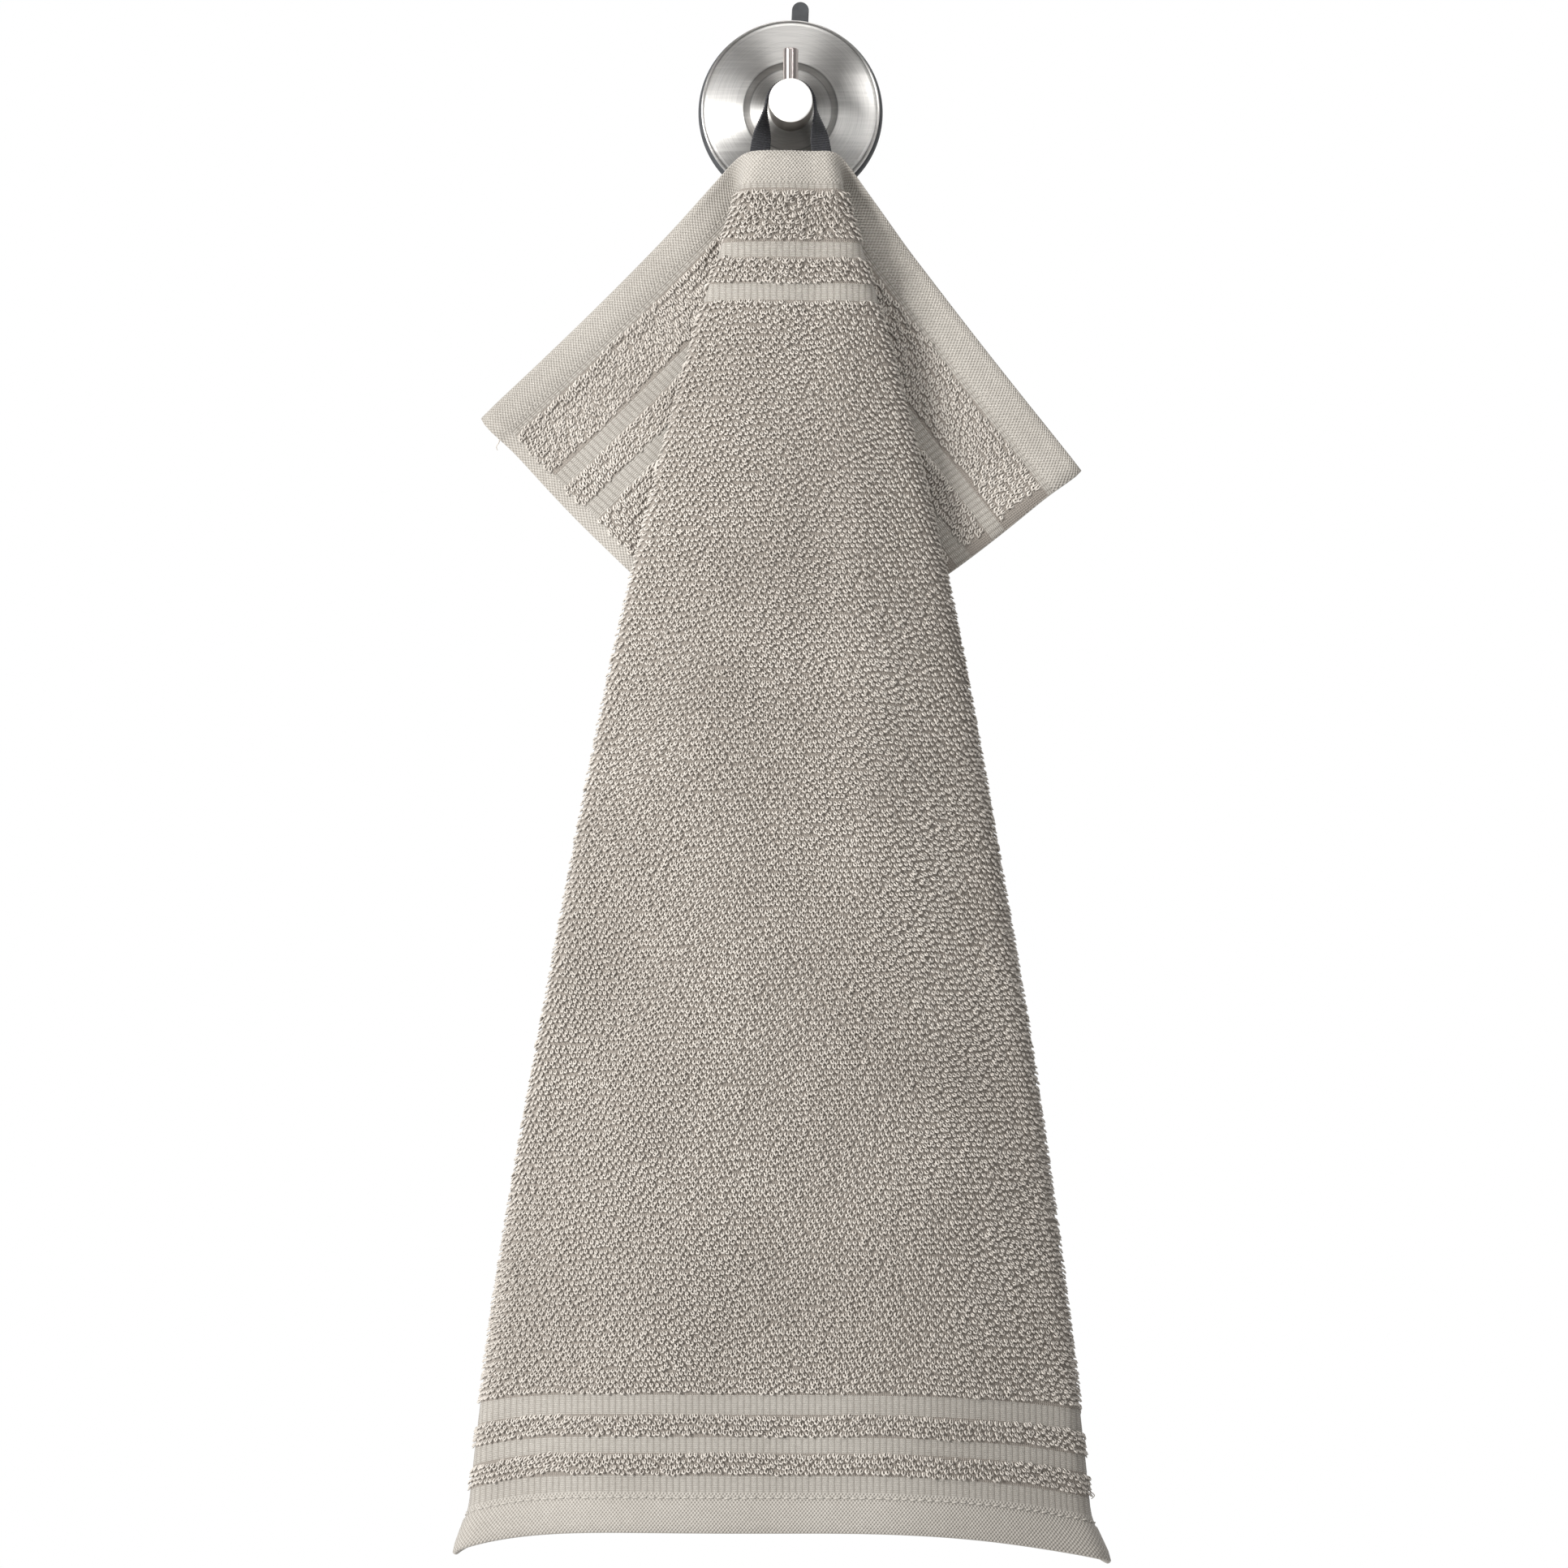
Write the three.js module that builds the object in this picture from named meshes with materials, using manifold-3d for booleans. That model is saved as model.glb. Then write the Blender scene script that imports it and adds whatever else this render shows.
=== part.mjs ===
// Guest towel hanging by its loop from a suction hook.
// Units are millimetres. The origin is the middle of the suction cup's flat back,
// with Z up, the flat back at Y = 0 and the front on the side of negative Y.

import * as THREE from 'three';
import { mergeVertices } from 'three/addons/utils/BufferGeometryUtils.js';
import Module from 'manifold-3d';

const { clamp, degToRad, lerp, radToDeg, smoothstep } = THREE.MathUtils;

// Suction cup, with a pull tab at its top
const CUP = { radius: 33.8, depth: 4.2, backEdge: 0.4, rim: 1, lip: 0.6, lipDepth: 2.6, shoulder: 2.4 };
const TAB = { x: 3.6, lean: 0.4, width: 6.2, top: 40.4, root: 29, back: 0.8, thickness: 2, curve: 8 };

// Cover disc, with a groove inside its rim and a dish around the knob
const DISC = { radius: 32.5, back: 4.5, front: 10, backEdge: 0.8, edge: 0.5, rim: 0.4, rimBack: 0.1 };
const RIM_GROOVE = { radius: 31.6, depth: 0.6, width: 1 };
const DISH = { edge: 17.2, floor: 15, depth: 1.4 };

// Knob and pin
const KNOB = { radius: 7.9, front: 31.7, chamfer: 0.5 };
const PIN = { radius: 2.7, top: 19.3, depth: 27.2, chamfer: 0.4 };
const GAP = 0.3;
const SEGMENTS = { cup: 64, disc: 72, knob: 40, pin: 24, seat: 64 };
const WELD = 1e-4;

// Hanging loop, a woven tape that twists on its way from the knob to the hem
const TAPE = { width: 7.2, thickness: 1, overKnob: -20, behindHem: -19.1, facing: 0.9, slack: 0.1 };
const TAPE_END = { x: 7, z: -24.5 };
const TAPE_HEM = { x: 11.2, z: -17.2 };
const TAPE_STEPS = { arc: 12, strand: 7, sewn: 2 };

// Towel
const LENGTH = 496;
const TOP = new THREE.Vector3(0.2, -24, -16.9);
const COLUMNS_A_SIDE = 26;
const WALK_STEP = 0.5;
const FLAT_PER_COLUMN = 30;
const TURN_PER_COLUMN = 24;
const BAND_EDGE = 0.6;

// The middle of the towel leans out to the front: degrees at each distance down.
const LEAN = [
  { down: 0, degrees: 4 },
  { down: 120, degrees: 3 },
  { down: LENGTH, degrees: 1.5 },
];

// Each half reaches out from the middle to its side edge. Each fold is a line in the
// cloth. It lies `out` from the middle at the distance `down` from the top edge, where
// the cloth turns by `turn` degrees over the width `wide`. `droop` is how far the hem
// sinks at HANG.at from the middle, `bend` how late, `flare` how far its tip is drawn
// out and `lift` how far the cloth behind the ridge is raised. `sag` and `endRise`
// shape the top edge between the hook and the corner, and `settle` is how far back
// the top hem lies there.
const LEFT = {
  droop: 7.2,
  bend: 6,
  flare: 3.8,
  lift: 7,
  sag: 1.6,
  endRise: 0,
  settle: 10.5,
  reach: [
    { down: 0, out: 152.5 },
    { down: 100, out: 157 },
    { down: 250, out: 156 },
    { down: LENGTH, out: 154 },
  ],
  crown: [
    { down: 0, out: 12, wide: 14, turn: 12 },
    { down: 150, out: 24, wide: 40, turn: 12 },
    { down: LENGTH, out: 62, wide: 100, turn: 17 },
  ],
  ridge: [
    { down: 0, out: 17, wide: 19, turn: 165 },
    { down: 60, out: 34.5, wide: 9, turn: 165 },
    { down: 180, out: 64.6, wide: 10, turn: 165 },
    { down: 240, out: 77.6, wide: 13, turn: 162 },
    { down: 300, out: 90.2, wide: 16, turn: 160 },
    { down: 430, out: 114.8, wide: 24, turn: 145 },
    { down: 484, out: 121, wide: 24, turn: 134 },
    { down: LENGTH, out: 122, wide: 24, turn: 130 },
  ],
  valley: [
    { down: 0, out: 17.5, wide: 19, turn: -178 },
    { down: 60, out: 65.5, wide: 9, turn: -178 },
    { down: 180, out: 160, wide: 10, turn: -178 },
    { down: LENGTH, out: 405, wide: 12, turn: -178 },
  ],
};
const RIGHT = {
  droop: 13.5,
  bend: 2.7,
  flare: 5.4,
  lift: 10,
  sag: 0.4,
  endRise: 2.4,
  settle: 10.3,
  reach: [
    { down: 0, out: 164 },
    { down: 100, out: 167.5 },
    { down: 250, out: 165 },
    { down: LENGTH, out: 161 },
  ],
  crown: [
    { down: 0, out: 12, wide: 13, turn: 14 },
    { down: 70, out: 14, wide: 18, turn: 17 },
    { down: 150, out: 19, wide: 26, turn: 18 },
    { down: LENGTH, out: 60, wide: 100, turn: 20 },
  ],
  ridge: [
    { down: 0, out: 17, wide: 18, turn: 162 },
    { down: 60, out: 36, wide: 17, turn: 162 },
    { down: 180, out: 68.3, wide: 31, turn: 162 },
    { down: 300, out: 90, wide: 30, turn: 160 },
    { down: 430, out: 108.6, wide: 26, turn: 150 },
    { down: 484, out: 114, wide: 24, turn: 145 },
    { down: LENGTH, out: 115, wide: 24, turn: 143 },
  ],
  valley: [
    { down: 0, out: 17.5, wide: 18, turn: -178 },
    { down: 60, out: 75, wide: 9, turn: -179 },
    { down: 180, out: 181, wide: 10, turn: -179 },
    { down: LENGTH, out: 450, wide: 12, turn: -179 },
  ],
};
const HANG = { at: 115, late: 4, lifted: 30 };
const SAG = { from: 25, span: 120, fade: 40 };
const END_RISE = { from: 50, span: 110, fade: 120 };
const SETTLE = { from: 14, span: 48, fade: 15 };
const TIP = { start: 476, late: 1.5, panel: 20, behind: 12 };

// Unevenness of the cloth, forward and back: a soft trough down the panel, long waves,
// and ripples in the right half of the top hem
const TROUGH = { depth: 1.5, at: 8, wide: 6, spread: 0.03, full: 1.15, fade: 330 };
const WAVE = { height: 0.55, across: 17, along: 90, down: 57, shift: 1.3, full: 80 };
const RIPPLE = { height: 1.1, across: 6.5, shift: 0.8, fade: 16, from: 25, rise: 12, to: 75, fall: 20 };

// Bands from the top edge down, with the cloth's thickness and the rows of faces in each
const BANDS = [
  { name: 'hem', end: 11.5, thickness: 2.4, rows: 3 },
  { name: 'plain', end: 13.5, thickness: 1.6, rows: 1 },
  { name: 'pile', end: 33, thickness: 2.8, rows: 4 },
  { name: 'stripe', end: 38.6, thickness: 1.6, rows: 1 },
  { name: 'pile', end: 48, thickness: 2.8, rows: 2 },
  { name: 'stripe', end: 54.3, thickness: 1.6, rows: 1 },
  { name: 'pile', end: 446.5, thickness: 2.8, rows: 21 },
  { name: 'stripe', end: 453.4, thickness: 1.6, rows: 1 },
  { name: 'pile', end: 461.4, thickness: 2.8, rows: 1 },
  { name: 'stripe', end: 467.1, thickness: 1.6, rows: 1 },
  { name: 'pile', end: 475.1, thickness: 2.8, rows: 1 },
  { name: 'stripe', end: 481.1, thickness: 1.6, rows: 1 },
  { name: 'seam', end: 484.5, thickness: 2, rows: 1 },
  { name: 'hem', end: LENGTH, thickness: 2.4, rows: 3 },
];

const wasm = await Module();
wasm.setup();

function material(name, color, roughness, metalness = 0) {
  return new THREE.MeshStandardMaterial({ name, color, roughness, metalness });
}

const rubber = material('rubber', 0x2b2c2e, 0.7);
const tapeCloth = material('tape', 0x232327, 0.9);
const terry = material('terry', 0xb7b0a6, 1);
const brushedDisc = material('brushed_disc', 0xc9c8c6, 0.3, 1);
const brushedKnob = material('brushed_knob', 0xd8d7d4, 0.4, 1);
const brushedPin = material('brushed_pin', 0xc4bcb8, 0.3, 1);

function solid(geometry) {
  const bare = geometry.clone();
  bare.deleteAttribute('normal');
  bare.deleteAttribute('uv');
  const merged = mergeVertices(bare, WELD);
  return new wasm.Manifold(new wasm.Mesh({
    numProp: 3,
    vertProperties: Float32Array.from(merged.attributes.position.array),
    triVerts: Uint32Array.from(merged.index.array),
  }));
}

function geometryOf(manifold) {
  const mesh = manifold.getMesh();
  const geometry = new THREE.BufferGeometry();
  geometry.setAttribute('position', new THREE.BufferAttribute(mesh.vertProperties, 3));
  geometry.setIndex(new THREE.BufferAttribute(mesh.triVerts, 1));
  geometry.computeVertexNormals();
  return geometry;
}

// A turned piece whose axis points to the front. The profile holds pairs of radius and
// distance from the flat back, and starts and ends on the axis.
function turned(profile, segments) {
  const points = profile.map(([radius, distance]) => new THREE.Vector2(radius, distance));
  return new THREE.LatheGeometry(points, segments).rotateX(Math.PI);
}

function suctionCup() {
  const cup = turned([
    [0, 0],
    [CUP.radius - CUP.backEdge, 0],
    [CUP.radius, CUP.rim],
    [CUP.radius - CUP.lip, CUP.lipDepth],
    [CUP.radius - CUP.shoulder, CUP.depth],
    [0, CUP.depth],
  ], SEGMENTS.cup);
  const half = TAB.width / 2;
  const shoulder = TAB.top - half;
  const outline = new THREE.Shape();
  outline.moveTo(TAB.x - half - TAB.lean, TAB.root);
  outline.lineTo(TAB.x + half - TAB.lean, TAB.root);
  outline.lineTo(TAB.x + half, shoulder);
  outline.absarc(TAB.x, shoulder, half, 0, Math.PI, false);
  const settings = { depth: TAB.thickness, bevelEnabled: false, curveSegments: TAB.curve };
  const tab = new THREE.ExtrudeGeometry(outline, settings);
  tab.rotateX(Math.PI / 2).translate(0, -TAB.back, 0);
  return geometryOf(solid(cup).add(solid(tab)));
}

function coverDisc() {
  const groove = RIM_GROOVE.radius;
  return turned([
    [0, DISC.back],
    [DISC.radius - DISC.backEdge, DISC.back],
    [DISC.radius, DISC.back + DISC.backEdge],
    [DISC.radius, DISC.front - DISC.edge],
    [DISC.radius - DISC.rim, DISC.front - DISC.rimBack],
    [groove, DISC.front - RIM_GROOVE.depth],
    [groove - RIM_GROOVE.width, DISC.front],
    [DISH.edge, DISC.front],
    [DISH.floor, DISC.front - DISH.depth],
    [0, DISC.front - DISH.depth],
  ], SEGMENTS.disc);
}

function knob() {
  const base = DISC.front - DISH.depth + GAP;
  return turned([
    [0, base],
    [KNOB.radius - KNOB.chamfer, base],
    [KNOB.radius, base + KNOB.chamfer],
    [KNOB.radius, KNOB.front - KNOB.chamfer],
    [KNOB.radius - KNOB.chamfer, KNOB.front],
    [0, KNOB.front],
  ], SEGMENTS.knob);
}

// The pin stands on the knob, with its foot hollowed to the knob's curve.
function pin() {
  const profile = [
    [0, 0],
    [PIN.radius, 0],
    [PIN.radius, PIN.top - PIN.chamfer],
    [PIN.radius - PIN.chamfer, PIN.top],
    [0, PIN.top],
  ].map(([radius, height]) => new THREE.Vector2(radius, height));
  const upright = new THREE.LatheGeometry(profile, SEGMENTS.pin);
  upright.rotateX(Math.PI / 2).translate(0, -PIN.depth, 0);
  const bore = KNOB.radius + GAP;
  const seat = new THREE.CylinderGeometry(bore, bore, 2 * KNOB.front, SEGMENTS.seat);
  seat.translate(0, -KNOB.front / 2, 0);
  return geometryOf(solid(upright).subtract(solid(seat)));
}

// A closed body from a loop of sections, each with the same number of corners. `ends`
// gives the faces that close the first and the last section.
function skin(sections, ends) {
  const corners = sections[0].length;
  const positions = sections.flat().flatMap((point) => point.toArray());
  const faces = [];
  for (let row = 0; row + 1 < sections.length; row += 1) {
    for (let k = 0; k < corners; k += 1) {
      const next = (k + 1) % corners;
      const a = row * corners + k;
      const b = row * corners + next;
      faces.push(a, b, b + corners, a, b + corners, a + corners);
    }
  }
  const last = (sections.length - 1) * corners;
  ends(corners).forEach(([a, b, c]) => {
    faces.push(a, c, b);
    faces.push(last + a, last + b, last + c);
  });
  const geometry = new THREE.BufferGeometry();
  geometry.setAttribute('position', new THREE.Float32BufferAttribute(positions, 3));
  geometry.setIndex(faces);
  geometry.computeVertexNormals();
  return geometry;
}

// Faces of an end as a fan from its first corner
function fan(corners) {
  return Array.from({ length: corners - 2 }, (_, k) => [0, k + 1, k + 2]);
}

// Faces of an end as a strip between the first half of its corners and the second
function strip(corners) {
  const faces = [];
  for (let k = 0; k + 1 < corners / 2; k += 1) {
    const home = corners - 1 - k;
    faces.push([k, home - 1, home], [k, k + 1, home - 1]);
  }
  return faces;
}

// Stations of the tape's middle line, from the sewn end on the left to the one on the
// right. `flat` is 0 where the tape stands edge on to the front and 1 where it faces it.
function tapeStations() {
  const around = KNOB.radius + GAP + TAPE.thickness / 2 + TAPE.slack;
  const leave = Math.atan2(TAPE_HEM.x, -TAPE_HEM.z);
  const slant = Math.acos(around / Math.hypot(TAPE_HEM.x, TAPE_HEM.z));
  const tangent = Math.PI - leave - slant;
  const half = [];
  for (let k = 0; k <= TAPE_STEPS.arc; k += 1) {
    const angle = tangent * k / TAPE_STEPS.arc;
    half.push({ x: around * Math.sin(angle), z: around * Math.cos(angle), flat: 0, sewn: 0 });
  }
  const start = half[half.length - 1];
  for (let k = 1; k <= TAPE_STEPS.strand; k += 1) {
    const share = k / TAPE_STEPS.strand;
    half.push({
      x: lerp(start.x, TAPE_HEM.x, share),
      z: lerp(start.z, TAPE_HEM.z, share),
      flat: smoothstep(share, 0, 1) * TAPE.facing,
      sewn: smoothstep(share, 0, 1),
    });
  }
  for (let k = 1; k <= TAPE_STEPS.sewn; k += 1) {
    const share = k / TAPE_STEPS.sewn;
    half.push({
      x: lerp(TAPE_HEM.x, TAPE_END.x, share),
      z: lerp(TAPE_HEM.z, TAPE_END.z, share),
      flat: lerp(TAPE.facing, 1, share),
      sewn: 1,
    });
  }
  const left = half.slice(1).reverse().map((station) => ({ ...station, x: -station.x }));
  return [...left, ...half];
}

function hangingLoop() {
  const stations = tapeStations();
  const places = stations.map(({ x, z, sewn }) => (
    new THREE.Vector3(x, lerp(TAPE.overKnob, TAPE.behindHem, sewn), z)
  ));
  const sections = stations.map(({ x, flat }, k) => {
    const before = places[Math.max(k - 1, 0)];
    const after = places[Math.min(k + 1, places.length - 1)];
    const heading = after.clone().sub(before).normalize();
    const edgeOn = new THREE.Vector3(0, 1, 0);
    edgeOn.addScaledVector(heading, -edgeOn.dot(heading)).normalize();
    const across = edgeOn.clone().applyAxisAngle(heading, Math.sign(x) * flat * Math.PI / 2);
    const up = across.clone().cross(heading);
    return [[-1, 1], [1, 1], [1, -1], [-1, -1]].map(([a, b]) => places[k].clone()
      .addScaledVector(across, a * TAPE.width / 2)
      .addScaledVector(up, b * TAPE.thickness / 2));
  });
  return skin(sections, fan);
}

// Height and slope of a smooth line through the rows of a table, at a distance down
function along(line, column, down) {
  const last = line.length - 2;
  let k = 0;
  while (k < last && down > line[k + 1].down) k += 1;
  const steepness = (i) => (line[i + 1][column] - line[i][column]) / (line[i + 1].down - line[i].down);
  const tangent = (i) => {
    if (i === 0) return steepness(0);
    if (i === line.length - 1) return steepness(i - 1);
    const before = line[i].down - line[i - 1].down;
    const after = line[i + 1].down - line[i].down;
    return (steepness(i - 1) * after + steepness(i) * before) / (before + after);
  };
  const span = line[k + 1].down - line[k].down;
  const t = (down - line[k].down) / span;
  const [a, b] = [line[k][column], line[k + 1][column]];
  const [ma, mb] = [tangent(k) * span, tangent(k + 1) * span];
  const value = a + t * (ma + t * (3 * (b - a) - 2 * ma - mb + t * (2 * (a - b) + ma + mb)));
  const slope = (ma + t * (2 * (3 * (b - a) - 2 * ma - mb) + 3 * t * (2 * (a - b) + ma + mb))) / span;
  return { value, slope };
}

// Place on the towel's middle line, and the way down the cloth there
function middle(down) {
  const place = TOP.clone();
  const steps = Math.max(1, Math.ceil(down));
  for (let k = 0; k < steps; k += 1) {
    const lean = degToRad(along(LEAN, 'degrees', down * (k + 0.5) / steps).value);
    place.y -= Math.sin(lean) * down / steps;
    place.z -= Math.cos(lean) * down / steps;
  }
  const lean = degToRad(along(LEAN, 'degrees', down).value);
  return { place, way: new THREE.Vector3(0, -Math.sin(lean), -Math.cos(lean)) };
}

// How far the cloth hangs aside, back and down: the sides of the hem sink, its tips are drawn
// out, and the cloth behind the ridge is raised.
function hang(side, out, ridge, down) {
  const share = down / LENGTH;
  const past = smoothstep(out, ridge, ridge + HANG.lifted);
  const low = side.droop * share ** HANG.late * (Math.min(out, ridge) / HANG.at) ** side.bend;
  const bow = Math.sin(Math.PI * clamp((out - SAG.from) / SAG.span, 0, 1));
  const sag = side.sag * bow * Math.exp(-down / SAG.fade);
  const end = clamp((out - END_RISE.from) / END_RISE.span, 0, 1);
  const rise = side.endRise * end ** 2 * Math.exp(-down / END_RISE.fade);
  const wide = out < ridge ? TIP.panel : TIP.behind;
  const tip = smoothstep(down, TIP.start, LENGTH) ** TIP.late * Math.exp(-(((out - ridge) / wide) ** 2));
  const back = side.settle * clamp(1 - down / SETTLE.fade, 0, 1) ** 2;
  const y = back * smoothstep(out, SETTLE.from, SETTLE.from + SETTLE.span);
  return { x: -side.flare * tip, y, z: side.lift * past * share ** 2 - low * (1 - past) - sag + rise };
}

// How far the cloth stands forward of its smooth form
function relief(across, down) {
  const hollow = (across - TROUGH.at - TROUGH.spread * down) / (TROUGH.wide + TROUGH.spread * down);
  const trough = -TROUGH.depth * Math.exp(-(hollow ** 2)) * clamp(TROUGH.full - down / TROUGH.fade, 0, 1);
  const swell = Math.sin(across / WAVE.across + down / WAVE.along) * Math.sin(down / WAVE.down + WAVE.shift);
  const wave = WAVE.height * swell * clamp(down / WAVE.full, 0, 1);
  const starts = clamp((across - RIPPLE.from) / RIPPLE.rise, 0, 1);
  const ends = clamp((RIPPLE.to - across) / RIPPLE.fall, 0, 1);
  const crimp = Math.sin(across / RIPPLE.across + RIPPLE.shift) * Math.exp(-down / RIPPLE.fade);
  return trough + wave + RIPPLE.height * crimp * starts * ends;
}

// One half of a woven row, walked outward from the middle. At each fold the row turns
// about the fold's line. Returns places and forward directions at stations that crowd
// where the cloth turns.
function halfRow(side, mirror, down) {
  const { place, way } = middle(down);
  const out = new THREE.Vector3(-1, 0, 0);
  const folds = [side.valley, side.ridge, side.crown].map((line) => {
    const { value, slope } = along(line, 'out', down);
    const turn = degToRad(along(line, 'turn', down).value);
    const axis = out.clone().multiplyScalar(slope).add(way).normalize();
    return { axis, at: value, wide: along(line, 'wide', down).value, turn };
  });
  const ridge = folds[1].at;
  const reach = along(side.reach, 'out', down).value;
  const steps = Math.round(reach / WALK_STEP);
  const step = reach / steps;
  const walk = [];
  const previous = new THREE.Vector3();
  const angles = folds.map(() => 0);
  let share = 0;
  for (let k = 0; k <= steps; k += 1) {
    const distance = k * step;
    const heading = out.clone();
    const downward = way.clone();
    let turning = 0;
    folds.forEach(({ axis, at, wide, turn }, i) => {
      const angle = turn * smoothstep(distance, at - wide / 2, at + wide / 2);
      heading.applyAxisAngle(axis, angle);
      downward.applyAxisAngle(axis, angle);
      turning += Math.abs(angle - angles[i]);
      angles[i] = angle;
    });
    if (k > 0) {
      place.addScaledVector(previous.add(heading), step / 2);
      share += step / FLAT_PER_COLUMN + radToDeg(turning) / TURN_PER_COLUMN;
    }
    previous.copy(heading);
    const { x, y, z } = hang(side, distance, ridge, down);
    const face = heading.cross(downward).normalize();
    const forward = relief(mirror ? distance : -distance, down);
    const shown = place.clone().addScaledVector(face, forward);
    shown.x += x;
    shown.y += y;
    shown.z += z;
    walk.push({ place: shown, face, share });
  }
  const stations = [];
  let at = 0;
  for (let column = 0; column <= COLUMNS_A_SIDE; column += 1) {
    const wanted = share * column / COLUMNS_A_SIDE;
    while (at < walk.length - 2 && walk[at + 1].share < wanted) at += 1;
    const span = walk[at + 1].share - walk[at].share;
    const t = clamp((wanted - walk[at].share) / span, 0, 1);
    const station = {
      place: walk[at].place.clone().lerp(walk[at + 1].place, t),
      face: walk[at].face.clone().lerp(walk[at + 1].face, t).normalize(),
    };
    if (mirror) {
      station.place.x = 2 * TOP.x - station.place.x;
      station.face.x *= -1;
    }
    stations.push(station);
  }
  return stations;
}

// Distances down the cloth of the rows of corners, with the thickness at each
function rowsOfCorners() {
  const rows = [];
  let start = 0;
  BANDS.forEach((band, index) => {
    const first = index === 0 ? start : start + BAND_EDGE;
    const end = index === BANDS.length - 1 ? band.end : band.end - BAND_EDGE;
    for (let k = 0; k <= band.rows; k += 1) {
      rows.push({ down: lerp(first, end, k / band.rows), thickness: band.thickness });
    }
    start = band.end;
  });
  return rows;
}

// Every row of the cloth is a ring of corners: across its back, then home along its front.
function towel() {
  const sections = rowsOfCorners().map(({ down, thickness }) => {
    const left = halfRow(LEFT, false, down).reverse();
    const right = halfRow(RIGHT, true, down).slice(1);
    const row = [...left, ...right];
    const back = row.map(({ place, face }) => place.clone().addScaledVector(face, -thickness / 2));
    const front = row.map(({ place, face }) => place.clone().addScaledVector(face, thickness / 2));
    return [...back, ...front.reverse()];
  });
  return skin(sections, strip);
}

function piece(name, geometry, material) {
  const mesh = new THREE.Mesh(geometry, material);
  mesh.name = name;
  return mesh;
}

const part = new THREE.Group();
part.add(
  piece('suction_cup', suctionCup(), rubber),
  piece('cover_disc', coverDisc(), brushedDisc),
  piece('knob', knob(), brushedKnob),
  piece('pin', pin(), brushedPin),
  piece('hanging_loop', hangingLoop(), tapeCloth),
  piece('towel', towel(), terry),
);

export default part;
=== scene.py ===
"""A terry guest towel that hangs by its loop from a suction hook.

Lengths in the tables are millimetres, and everything that is built is in metres.
"""

import math

import bmesh
import bpy
import numpy as np
from mathutils import Matrix, Vector
from mathutils.bvhtree import BVHTree


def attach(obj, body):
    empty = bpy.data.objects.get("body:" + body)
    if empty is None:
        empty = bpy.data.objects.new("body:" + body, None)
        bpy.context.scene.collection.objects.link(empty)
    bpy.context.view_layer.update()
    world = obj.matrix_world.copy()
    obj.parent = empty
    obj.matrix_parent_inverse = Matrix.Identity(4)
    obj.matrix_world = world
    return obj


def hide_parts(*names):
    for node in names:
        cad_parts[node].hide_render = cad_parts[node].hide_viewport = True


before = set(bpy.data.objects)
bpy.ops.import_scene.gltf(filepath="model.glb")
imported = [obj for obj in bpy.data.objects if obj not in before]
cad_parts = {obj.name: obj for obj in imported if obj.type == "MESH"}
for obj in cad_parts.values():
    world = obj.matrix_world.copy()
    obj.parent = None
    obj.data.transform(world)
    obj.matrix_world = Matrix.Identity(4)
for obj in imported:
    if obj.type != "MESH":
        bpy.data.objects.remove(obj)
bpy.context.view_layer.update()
MM = 0.001
BODY = "root"

# Camera: level, straight in front of the wall
PHOTO_SIDE = 1932
FOCAL_PIXELS = 5416
CAMERA_AT = (-0.0024, -1.610, -0.2456)
SENSOR = 36

# Stage: lights are name, place, what they face, width and height, watts and spread in degrees
LIGHTS = [
    ("left_softbox", (-1.3, -1.15, 0.02), (0, -0.03, -0.26), (0.6, 0.55), 46, 180),
    ("right_beam", (0.8, -1.45, 0.06), (0, 0, 0.03), (0.3, 0.36), 0.19, 34),
    ("overhead", (0, -1.0, 1.3), (0, 0, -0.15), (0.9, 0.75), 15, 180),
]
SKY = {"from": -0.2, "to": 0.85, "least": 0.33, "most": 1.0}
FLOOR_REACH, FLOOR_LEVEL = 2.4, -1.1

# Hook
CUP_RADIUS, CUP_DEPTH = 33.8, 4.2
TAB = {"x": 3.6, "lean": 0.4, "width": 6.2, "top": 40.4, "root": 29, "back": 0.8, "thickness": 2}
DISC_RADIUS, DISC_BACK, DISC_FRONT = 32.5, 4.5, 10
RIM_GROOVE = {"radius": 31.6, "depth": 0.6, "width": 1}
DISH = {"edge": 17.2, "floor": 15, "depth": 1.4}
KNOB = {"radius": 7.9, "front": 31.7, "chamfer": 0.5}
KNOB_SIDE_LEAN = 0.6
PIN = {"radius": 2.7, "top": 19.3, "depth": 27.2, "chamfer": 0.4}
GAP = 0.3

# Hanging loop
TAPE = {"width": 7.2, "thickness": 1, "over_knob": -20, "behind_hem": -19.1, "facing": 0.9}
TAPE_HEM = (11.2, -17.2)
TAPE_END = (7, -24.5)
TAPE_RIB = {"pitch": 0.42, "height": 0.12}
TAPE_RING = [(-1, 0.55), (-0.93, 1), (-0.4, 1), (0.4, 1), (0.93, 1), (1, 0.55)]
TAPE_RING += [(-across, -up) for across, up in TAPE_RING]

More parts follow.
